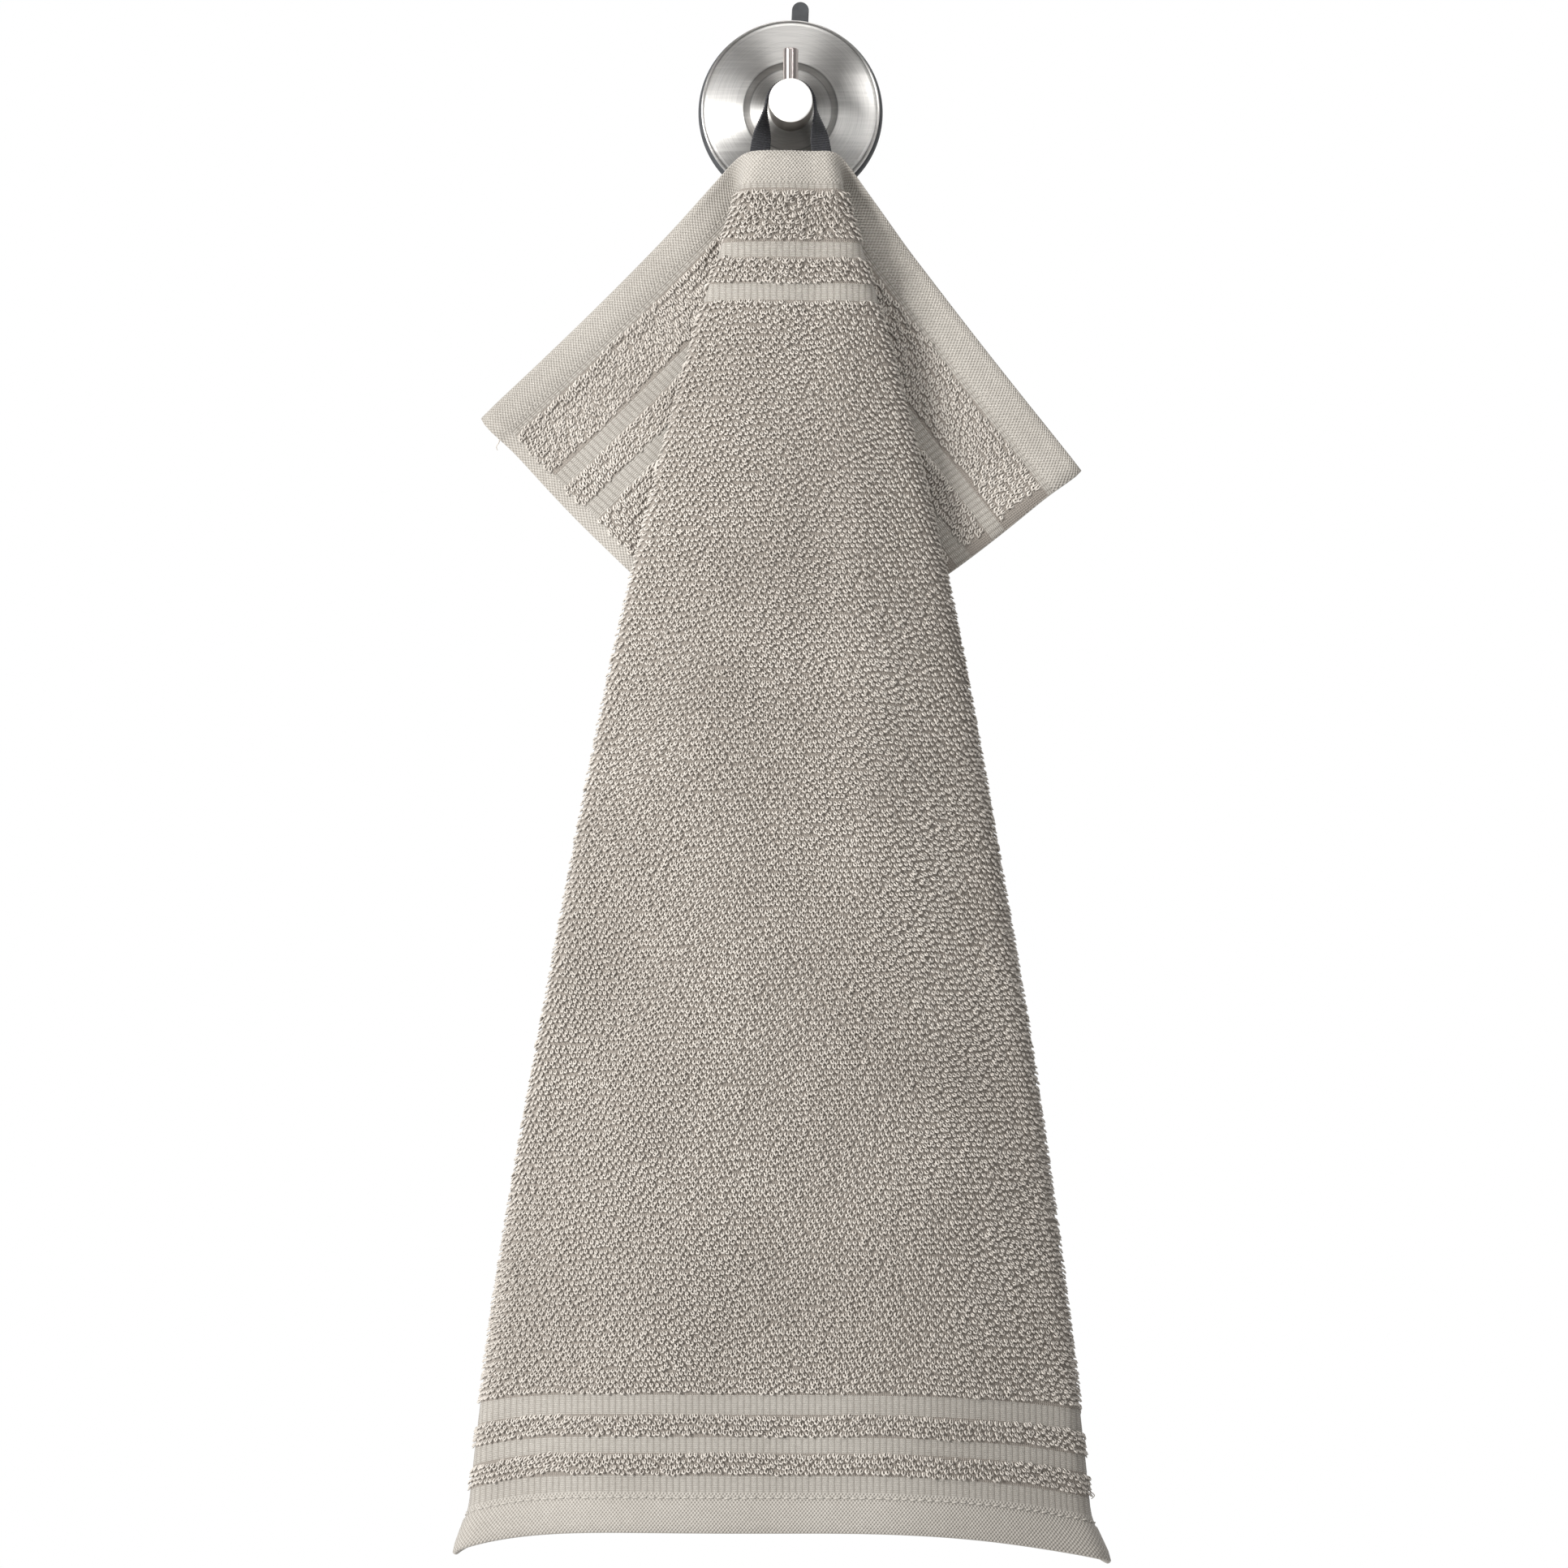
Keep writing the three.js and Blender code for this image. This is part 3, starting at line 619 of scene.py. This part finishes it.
TONES = {
    "pile": ((0.41, 0.375, 0.335), (0.56, 0.52, 0.47)),
    # The ground under the loops is the same yarn; its darker tones are painted shade between the loops
    "ground": ((0.22, 0.195, 0.17), (0.30, 0.27, 0.235)),
    "flat": ((0.25, 0.228, 0.2), (0.44, 0.415, 0.376)),
    "stripe": ((0.225, 0.205, 0.18), (0.40, 0.377, 0.34)),
    "thread": ((0.36, 0.335, 0.30), (0.42, 0.395, 0.355)),
}
PILE = cotton("pile_loops", *TONES["pile"])
# Painted shade: the ground cloth under the pile is coloured darker than its yarn
SHADED_GROUND = cotton("pile_ground_painted_shade", *TONES["ground"], ground_weave)
STRIPE = cotton("repp_stripe", *TONES["stripe"], repp)
HEM = cotton("knit_hem", *TONES["flat"], knit)
THREAD = cotton("sewing_thread", *TONES["thread"])
# Factors on the disc's colour by radius: painted shade in the dish's step and in the rim groove, and a
# painted reflection of the knob that darkens the dish floor
DISC_SHADE_AND_REFLECTION = [(0, 0.55), (9, 0.66), (14.4, 0.84), (14.9, 0.5), (15.3, 0.9), (16.6, 0.75), (17.1, 0.45),
              (17.6, 1), (31.1, 1), (31.5, 0.35), (31.8, 0.8), (34, 0.9)]
STEEL = steel("brushed_steel", (0.62, 0.615, 0.605), 0.46, shade_rings=DISC_SHADE_AND_REFLECTION)
# The knob is one steel given as two copies: the near-white face with little metal is a painted highlight, and
# the dark side is painted shade
KNOB_SHADED_SIDE = steel("knob_side_painted_shade", (0.25, 0.235, 0.22), 0.3)
KNOB_LIT_FACE = steel("brushed_knob", (0.93, 0.925, 0.915), 0.5)
KNOB_LIT_FACE.node_tree.nodes["Principled BSDF"].inputs["Metallic"].default_value = 0.35
PIN_STEEL = steel("brushed_pin", (0.52, 0.465, 0.445), 0.3, upright=True)
RUBBER = rubber("soft_rubber", (0.035, 0.037, 0.04), 0.55)
BLACK_TAPE = tape_cotton("black_tape", (0.010, 0.010, 0.012), (0.034, 0.034, 0.039))


def add_camera():
    camera = bpy.data.objects.new("camera", bpy.data.cameras.new("camera"))
    bpy.context.scene.collection.objects.link(camera)
    camera.location = CAMERA_AT
    camera.rotation_euler = (math.pi / 2, 0, 0)
    camera.data.sensor_width = SENSOR
    camera.data.lens = FOCAL_PIXELS / PHOTO_SIDE * SENSOR
    bpy.context.scene.camera = camera


def add_light(name, place, target, size, power, spread):
    data = bpy.data.lights.new(name, "AREA")
    data.shape = "RECTANGLE"
    data.size, data.size_y = size
    data.energy = power
    data.spread = math.radians(spread)
    light = bpy.data.objects.new(name, data)
    light.location = place
    light.rotation_euler = (Vector(target) - Vector(place)).to_track_quat("-Z", "Y").to_euler()
    bpy.context.scene.collection.objects.link(light)


def add_stage():
    """A white sky that is darker towards the camera, a pale floor and the lights."""
    scene = bpy.context.scene
    scene.view_settings.view_transform = "Standard"
    world = bpy.data.worlds.new("studio")
    world.use_nodes = True
    tree = world.node_tree
    background = tree.nodes["Background"]
    direction = tree.nodes.new("ShaderNodeTexCoord")
    axes = tree.nodes.new("ShaderNodeSeparateXYZ")
    share = tree.nodes.new("ShaderNodeMapRange")
    tree.links.new(direction.outputs["Generated"], axes.inputs[0])
    tree.links.new(axes.outputs[1], share.inputs[0])
    for socket, value in zip(share.inputs[1:5], SKY.values()):
        socket.default_value = value
    tree.links.new(share.outputs[0], background.inputs["Strength"])
    background.inputs["Color"].default_value = (1, 1, 1, 1)
    scene.world = world
    floor = bpy.data.meshes.new("floor")
    sides = ((-1, -1), (1, -1), (1, 1), (-1, 1))
    corners = [(x * FLOOR_REACH, y * FLOOR_REACH, FLOOR_LEVEL) for x, y in sides]
    floor.from_pydata(corners, [], [(0, 1, 2, 3)])
    floor = bpy.data.objects.new("floor", floor)
    scene.collection.objects.link(floor)
    pale = Nodes("pale_floor", (0.86, 0.86, 0.86), 0.8)
    floor.data.materials.append(pale.material)
    for light in LIGHTS:
        add_light(*light)


def add_cup():
    cup = lathe("rubber_cup", rounded([
        (0, 0),
        (CUP_RADIUS - 0.4, 0),
        (CUP_RADIUS, 1),
        (CUP_RADIUS - 0.6, 2.6),
        (CUP_RADIUS - 2.4, CUP_DEPTH),
        (0, CUP_DEPTH),
    ]))
    half = TAB["width"] / 2
    shoulder = TAB["top"] - half
    turns = np.linspace(0, math.pi, 25)
    rim = [(TAB["x"] + half * math.cos(a), shoulder + half * math.sin(a)) for a in turns]
    rim += [(TAB["x"] - half - TAB["lean"], TAB["root"]), (TAB["x"] + half - TAB["lean"], TAB["root"])]
    rim = np.array(rim)
    centre = rim.mean(0)
    back, front = TAB["back"], TAB["back"] + TAB["thickness"]
    layers = [(back, 0.93), (back + 0.2, 0.98), (back + 0.5, 1)]
    layers += [(front - 0.5, 1), (front - 0.2, 0.98), (front, 0.93)]
    tab = shell("pull_tab", [
        [(*(centre + (p - centre) * scale), depth) for p in rim] for depth, scale in layers
    ])
    for vertex in tab.data.vertices:
        x, z, depth = vertex.co
        vertex.co = (x, -depth, z)
    for piece in (cup, tab):
        wearing(piece, RUBBER)
        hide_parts("suction_cup")


def add_disc():
    groove, floor = RIM_GROOVE["radius"], DISC_FRONT - DISH["depth"]
    disc = lathe("steel_disc", rounded([
        (0, DISC_BACK),
        (DISC_RADIUS - 0.8, DISC_BACK),
        (DISC_RADIUS, DISC_BACK + 0.8),
        (DISC_RADIUS, DISC_FRONT - 0.5),
        (DISC_RADIUS - 0.4, DISC_FRONT - 0.1),
        (groove, DISC_FRONT - RIM_GROOVE["depth"]),
        (groove - RIM_GROOVE["width"], DISC_FRONT),
        (DISH["edge"], DISC_FRONT),
        (DISH["floor"], floor),
        (0, floor),
    ], 0.22), 240)
    wearing(disc, STEEL)
    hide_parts("cover_disc")


def add_knob():
    radius, front, chamfer = KNOB["radius"], KNOB["front"], KNOB["chamfer"]
    base = DISC_FRONT - DISH["depth"] + GAP
    knob = lathe("steel_knob", rounded([
        (0, base),
        (radius - chamfer, base),
        (radius, base + chamfer),
        (radius, front - chamfer),
        (radius - chamfer, front),
        (0, front),
    ], 0.15), 120)
    wearing(knob, KNOB_LIT_FACE, KNOB_SHADED_SIDE)
    # Faces that turn away from the front get the painted-shade copy of the knob's steel
    for polygon in knob.data.polygons:
        polygon.material_index = int(abs(polygon.normal.y) < KNOB_SIDE_LEAN)
    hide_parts("knob")


def add_pin():
    radius, top, chamfer = PIN["radius"], PIN["top"], PIN["chamfer"]
    foot = KNOB["radius"] - 1
    pin = lathe("steel_pin", rounded([
        (0, foot),
        (radius, foot),
        (radius, top - chamfer),
        (radius - chamfer, top),
        (0, top),
    ], 0.15), 64, upright_at=PIN["depth"])
    wearing(pin, PIN_STEEL)
    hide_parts("pin")


def tape_line():
    """Places on the tape's middle line, how far it faces the front at each, and the length
    of tape up to it."""
    slack = 0.1
    around = KNOB["radius"] + GAP + TAPE["thickness"] / 2 + slack
    hem_x, hem_z = TAPE_HEM
    slant = math.acos(around / math.hypot(hem_x, hem_z))
    tangent = math.pi - math.atan2(hem_x, -hem_z) - slant
    arc = [(around * math.sin(a), around * math.cos(a), 0, 0) for a in np.linspace(0, tangent, 40)]
    start_x, start_z = arc[-1][:2]
    strand = []
    for t in np.linspace(0, 1, 60)[1:]:
        soft = t * t * (3 - 2 * t)
        x, z = start_x + (hem_x - start_x) * t, start_z + (hem_z - start_z) * t
        strand.append((x, z, soft * TAPE["facing"], soft))
    sewn = []
    for t in np.linspace(0, 1, 16)[1:]:
        x, z = hem_x + (TAPE_END[0] - hem_x) * t, hem_z + (TAPE_END[1] - hem_z) * t
        sewn.append((x, z, TAPE["facing"] + (1 - TAPE["facing"]) * t, 1))
    half = arc + strand + sewn
    line = np.array([(-x, z, flat, s) for x, z, flat, s in half[:0:-1]] + half)
    depth = TAPE["over_knob"] + (TAPE["behind_hem"] - TAPE["over_knob"]) * line[:, 3]
    places = np.stack([line[:, 0], depth, line[:, 1]], 1)
    length = np.concatenate([[0], np.cumsum(np.linalg.norm(np.diff(places, axis=0), axis=1))])
    even = np.linspace(0, length[-1], round(length[-1] / TAPE_RIB["pitch"] * 4) + 1)
    places = np.stack([np.interp(even, length, places[:, i]) for i in range(3)], 1)
    return places, np.interp(even, length, line[:, 2]), even


def add_tape():
    places, flat, length = tape_line()
    heading = np.gradient(places, axis=0)
    heading /= np.linalg.norm(heading, axis=1, keepdims=True)
    sections = []
    for place, way, facing, at in zip(places, heading, flat, length):
        edge_on = Vector((0, 1, 0)) - Vector(way) * way[1]
        turned = Matrix.Rotation(np.sign(place[0]) * facing * math.pi / 2, 3, Vector(way))
        across = np.array(turned @ edge_on.normalized())
        up = np.cross(across, way)
        rib = TAPE_RIB["height"] * math.cos(2 * math.pi * at / (2 * TAPE_RIB["pitch"]))
        wide, thick = TAPE["width"] / 2 + rib / 3, TAPE["thickness"] / 2 - TAPE_RIB["height"] + rib
        sections.append([place + across * a * wide + up * b * thick for a, b in TAPE_RING])
    tape = shell("woven_tape", sections)
    wearing(tape, BLACK_TAPE)
    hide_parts("hanging_loop")
    return tape


def band_rows():
    """Distances down of the cloth's rows, the thickness there, and each row's band below it."""
    rows = []
    start = 0.0
    for index, (name, end, thickness) in enumerate(BANDS):
        first = start + (0 if index == 0 else BAND_CHANGE)
        last = end - (0 if index == len(BANDS) - 1 else BAND_CHANGE)
        steps = max(1, round((last - first) / ROW_STEP))
        stations = list(np.linspace(first, last, steps + 1))
        if index == 0:
            stations = [0, *END_ROWS] + stations[1:]
        if index == len(BANDS) - 1:
            stations = stations[:-1] + [LENGTH - edge for edge in END_ROWS[::-1]] + [LENGTH]
        for down in stations:
            edge = min(down, LENGTH - down)
            round_off = math.sqrt(max(0.04, 1 - (1 - min(edge, 1)) ** 2))
            rows.append((down, thickness * round_off, name))
        start = end
    return rows


def spread(half, columns):
    """Distances out of the cloth's columns on each row, closer where the cloth turns."""
    steps = half.turning.shape[1]
    weight = half.step / COLUMN_EVERY["mm"] + np.degrees(half.turning) / COLUMN_EVERY["degrees"]
    weight[:, 0] = 0
    total = np.cumsum(weight, axis=1)
    out_at = np.arange(steps) * half.step
    wanted = np.linspace(0, 1, columns + 1)
    out = []
    for row, reach in zip(total, half.reach):
        last = np.interp(reach, out_at, row)
        out.append(np.interp(wanted * last, row, out_at))
        out[-1][-2] = reach - SIDE_EDGE["in"]
    return np.array(out)


def add_cloth():
    """The towel's cloth, as one closed sheet with its bands' thickness and materials."""
    rows = band_rows()
    down = np.array([r[0] for r in rows])
    thickness = np.array([r[1] for r in rows])
    left, right = Half(LEFT, -1, down), Half(RIGHT, 1, down)
    row = np.arange(len(down))[:, None]
    sheets = []
    for half in (left, right):
        out = spread(half, COLUMNS_A_SIDE)
        rows_of = np.broadcast_to(row, out.shape)
        place, face = half.sample(rows_of, out)[:2]
        thin = np.ones(out.shape[1])
        thin[-1] = SIDE_EDGE["thickness"]
        u = out * half.sign
        sheets.append((place, face * (thickness[:, None] * thin)[..., None] / 2, u))
    place, lift, u = (np.concatenate([a[:, :0:-1], b], 1) for a, b in zip(*sheets))
    count, columns = u.shape
    front, back = (place + lift).reshape(-1, 3), (place - lift).reshape(-1, 3)
    verts = np.concatenate([front, back]) * MM
    grid = np.arange(count * columns).reshape(count, columns)
    a, b, c, d = grid[:-1, :-1], grid[:-1, 1:], grid[1:, 1:], grid[1:, :-1]
    fronts = np.stack([a, d, c, b], -1).reshape(-1, 4)
    backs = np.stack([a, b, c, d], -1).reshape(-1, 4) + count * columns
    ring = np.concatenate([grid[0], grid[1:, -1], grid[-1, -2::-1], grid[-2:0:-1, 0]])
    after = np.roll(ring, -1)
    edge = np.stack([ring, after, after + count * columns, ring + count * columns], -1)
    band_of_row = np.array([BAND_MATERIAL[r[2]] for r in rows[:-1]])
    bare = SELVEDGE + SIDE_EDGE["bare"]
    bare_side = (u < bare - left.reach[:, None]) | (u > right.reach[:, None] - bare)
    material = np.where(bare_side[:-1, :-1] & bare_side[:-1, 1:], 0, band_of_row[:, None]).ravel()
    material = np.concatenate([material, material, np.zeros(len(edge), int)])
    uv = np.stack([np.tile(u.ravel(), 2), np.tile(np.repeat(down, columns), 2)], 1)
    faces = np.concatenate([fronts, backs, edge])
    cloth = new_object("towel_cloth", verts, faces, material, uv)
    wearing(cloth, HEM, STRIPE, SHADED_GROUND)
    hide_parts("towel")
    return cloth


def pile_bands():
    start = 0.0
    for name, end, _ in BANDS:
        if name == "pile":
            yield start, end
        start = end


def loop_places(side, sign, size, rng):
    """Places, directions and distances of every loop of one half, on a jittered grid."""
    pitch = size["pitch"]
    first, last = 0.45 * pitch, 0.3 * pitch
    downs = [np.arange(start + first, end - last, pitch) for start, end in pile_bands()]
    downs = np.concatenate(downs)
    half = Half(side, sign, downs)
    outs = np.arange(pitch / 2, half.reach.max() - SELVEDGE, pitch)
    rows, out = np.meshgrid(np.arange(len(downs)), outs, indexing="ij")
    stray = rng.uniform(-JITTER["across"], JITTER["across"], out.shape) * pitch
    out = out - sign * (rows % 2) * pitch / 2 + stray
    on_cloth = out < half.reach[:, None] - SELVEDGE
    rows, out = rows[on_cloth], np.maximum(out[on_cloth], 0)
    place, face, along_row, down_cloth = half.sample(rows, out)
    sway = np.sin(out / JITTER["sway_across"] + downs[rows] / JITTER["sway_down"])
    slide = rng.uniform(-JITTER["down"], JITTER["down"], out.shape) + JITTER["sway"] * sway
    place = place + down_cloth * (slide * pitch)[:, None]
    return place, face, along_row, down_cloth, downs[rows], out * sign


def open_to(tree, start, direction):
    """Whether none of the cloth lies in a direction from a place."""
    far = 2.0
    return tree.ray_cast(start, direction.normalized(), far)[0] is None


def loop_mesh(name, place, face, along_row, down_cloth, down, across, size, rng, grow):
    """Small arches of yarn that hang down over one another like scales, all in one mesh."""
    count = len(place)
    top = np.exp(-((down / LOOSE["down"]) ** 2) - (across / LOOSE["across"]) ** 2)
    flap = ramp((np.abs(across) - FLAP["across"]) / FLAP["over"]) * ramp((FLAP["down"] - down) / FLAP["fade"])
    loose = LOOSE["least"] + LOOSE["more"] * top + np.clip(grow - BAND_EDGE["steady"], 0, 1)
    comb = sum(amount * np.sin(across / a + down / d + shift) for amount, a, d, shift in COMB)
    turn = comb + rng.normal(0, LOOSE["turn"], count) * loose
    plumb = np.array([0, 0, -1]) + face * face[:, 2:]
    plumb = plumb * PLUMB + down_cloth * (1 - PLUMB)
    plumb /= np.linalg.norm(plumb, axis=1, keepdims=True)
    level = np.cross(face, plumb)
    way = level * np.cos(turn)[:, None] + plumb * np.sin(turn)[:, None]
    fall = plumb * np.cos(turn)[:, None] - level * np.sin(turn)[:, None]
    high, long, span, yarn = (size[key] * rng.uniform(*LOOP_SPREAD[key], count) for key in LOOP_SPREAD)
    high = high * grow * (1 + LOOSE["higher"] * top - FLAP["lower"] * flap)
    long = long * grow * (1 + LOOSE["longer"] * top + FLAP["longer"] * flap)
    yarn = yarn * (1 + FLAP["thicker"] * flap)
    side = np.cross(way, face * high[:, None] + fall * long[:, None])
    side /= np.linalg.norm(side, axis=1, keepdims=True)
    points = []
    for run, rise in ARCH:
        out, drop = high * rise ** ARCH_LEAN["out"], long * rise ** ARCH_LEAN["drop"]
        points.append(place + way * (run * span)[:, None] + face * out[:, None] + fall * drop[:, None])
    points = np.stack(points, 1)
    heading = np.gradient(points, axis=1)
    heading /= np.linalg.norm(heading, axis=2, keepdims=True)
    second = np.cross(heading, side[:, None])
    second /= np.linalg.norm(second, axis=2, keepdims=True)
    first = np.cross(second, heading)
    corners = []
    for k in range(3):
        angle = 2 * math.pi * k / 3 + 0.5
        corners.append(points + (first * math.cos(angle) + second * math.sin(angle)) * yarn[:, None, None])
    verts = np.stack(corners, 2)
    steps = len(ARCH)
    index = np.arange(count * steps * 3).reshape(count, steps, 3)
    after = np.roll(index, -1, axis=2)
    faces = np.stack([index[:, :-1], after[:, :-1], after[:, 1:], index[:, 1:]], -1).reshape(-1, 4)
    obj = new_object(name, verts.reshape(-1, 3) * MM, faces)
    return wearing(obj, PILE)


def add_pile(cloth):
    """Loops on both faces of the towel: close ones where the front view sees them, wider
    ones elsewhere, and none inside the folds."""
    tree = BVHTree.FromObject(cloth, bpy.context.evaluated_depsgraph_get())
    camera = Vector(CAMERA_AT)
    turns = np.linspace(0, 2 * math.pi, 8, endpoint=False)
    around = [Vector((math.sin(a), math.cos(a), rise)) for a in turns for rise in (-0.35, 0.35)]
    pieces = []
    for seen, size, seed in ((True, SEEN_LOOP, SEEN_SEED), (False, HIDDEN_LOOP, HIDDEN_SEED)):
        rng = np.random.default_rng(seed)
        kept = []
        for side, sign in ((LEFT, -1), (RIGHT, 1)):
            place, face, along_row, down_cloth, down, across = loop_places(side, sign, size, rng)
            for facing in (1, -1):
                normal = face * facing
                root = place + normal * size["root"]
                start = (place + normal * LOOK_FROM) * MM
                keep = np.zeros(len(place), bool)
                for k in range(len(place)):
                    at, out = Vector(start[k]), Vector(normal[k])
                    faces_camera = out.dot((camera - at).normalized()) > TO_CAMERA
                    to_camera = faces_camera and open_to(tree, at, camera - at)
                    if seen:
                        keep[k] = to_camera
                    elif not to_camera:
                        keep[k] = any(out.dot(way) > TO_AROUND and open_to(tree, at, way) for way in around)
                kept.append([a[keep] for a in (root, normal, along_row * -sign, down_cloth, down, across)])
        root, normal, along_row, down_cloth, down, across = (np.concatenate(a) for a in zip(*kept))
        order = np.argsort(down, kind="stable")
        edges = np.array([e for band in pile_bands() for e in band])
        near = np.abs(down[:, None] - edges[None]).min(1)
        grow = 1 + BAND_EDGE["growth"] * np.exp(-near / BAND_EDGE["fade"])
        groups = max(1, math.ceil(len(order) / LOOPS_A_PIECE))
        for number, group in enumerate(np.array_split(order, groups), 1):
            name = ("pile_front_" if seen else "pile_back_") + str(number)
            parts = (root, normal, along_row, down_cloth, down, across)
            pieces.append(loop_mesh(name, *(p[group] for p in parts), size, rng, grow[group]))
    return pieces


def stitches(name, down, pitch, length, radius, lift, rng):
    """A row of stitches across the towel at one distance down, on both faces."""
    verts, faces = [], []
    ring = STITCH_RING
    for side, sign in ((LEFT, -1), (RIGHT, 1)):
        half = Half(side, sign, np.full(1, float(down)))
        out = np.arange(pitch / 2, half.reach[0] - STITCH_END, pitch)
        stray = rng.uniform(-STITCH_STRAY, STITCH_STRAY, len(out))
        place, face, along_row, down_cloth = half.sample(np.zeros(len(out), int), out)
        place = place + down_cloth * stray[:, None]
        for facing in (1, -1):
            for p, n, t, d in zip(place, face * facing, along_row, down_cloth):
                first = len(verts)
                tilt = t + d * rng.uniform(-STITCH_STRAY, STITCH_STRAY)
                for run, size in STITCH_ROUNDS:
                    for k in range(ring):
                        angle = 2 * math.pi * k / ring
                        high = lift - 0.1 + radius * size * math.sin(angle) + 0.12 * size
                        wide = radius * size * math.cos(angle)
                        verts.append(p + n * high + tilt * run * length + d * wide)
                for r in range(len(STITCH_ROUNDS) - 1):
                    for k in range(ring):
                        a, b = first + r * ring + k, first + r * ring + (k + 1) % ring
                        faces.append((a, b, b + ring, a + ring))
    obj = new_object(name, np.array(verts) * MM, faces)
    return wearing(obj, THREAD)


def stray_yarn(name, sign, down, out, steps):
    """A yarn that has come loose. It starts in the cloth and thins to its end."""
    half = Half(LEFT if sign < 0 else RIGHT, sign, np.full(1, float(down)))
    root = half.sample(np.zeros(1, int), np.full(1, float(out)))[0][0]
    points = root + np.array(steps, float)
    at = np.linspace(0, len(points) - 1, 24)
    order = np.arange(len(points))
    line = np.stack([along(np.stack([order, points[:, i]], 1), 1, at)[0] for i in range(3)], 1)
    heading = np.gradient(line, axis=0)
    heading /= np.linalg.norm(heading, axis=1, keepdims=True)
    side = np.cross(heading, [0.0, 1.0, 0.2])
    side /= np.linalg.norm(side, axis=1, keepdims=True)
    up = np.cross(side, heading)
    angles = np.linspace(0, 2 * math.pi, 6, endpoint=False)
    thin = STRAY_RADIUS * np.linspace(1, STRAY_TAPER, len(line))
    sections = [p + np.outer(np.cos(angles), a) * r + np.outer(np.sin(angles), b) * r
                for p, a, b, r in zip(line, side, up, thin)]
    return wearing(shell(name, sections), PILE)


add_camera()
add_stage()
add_cup()
add_disc()
add_knob()
add_pin()
tape = add_tape()
cloth = add_cloth()
pile = add_pile(cloth)
thread_rng = np.random.default_rng(THREAD_SEED)
sewing = [stitches(*row, thread_rng) for row in STITCH_ROWS]
sewing += [stray_yarn(*row) for row in STRAY_YARNS]
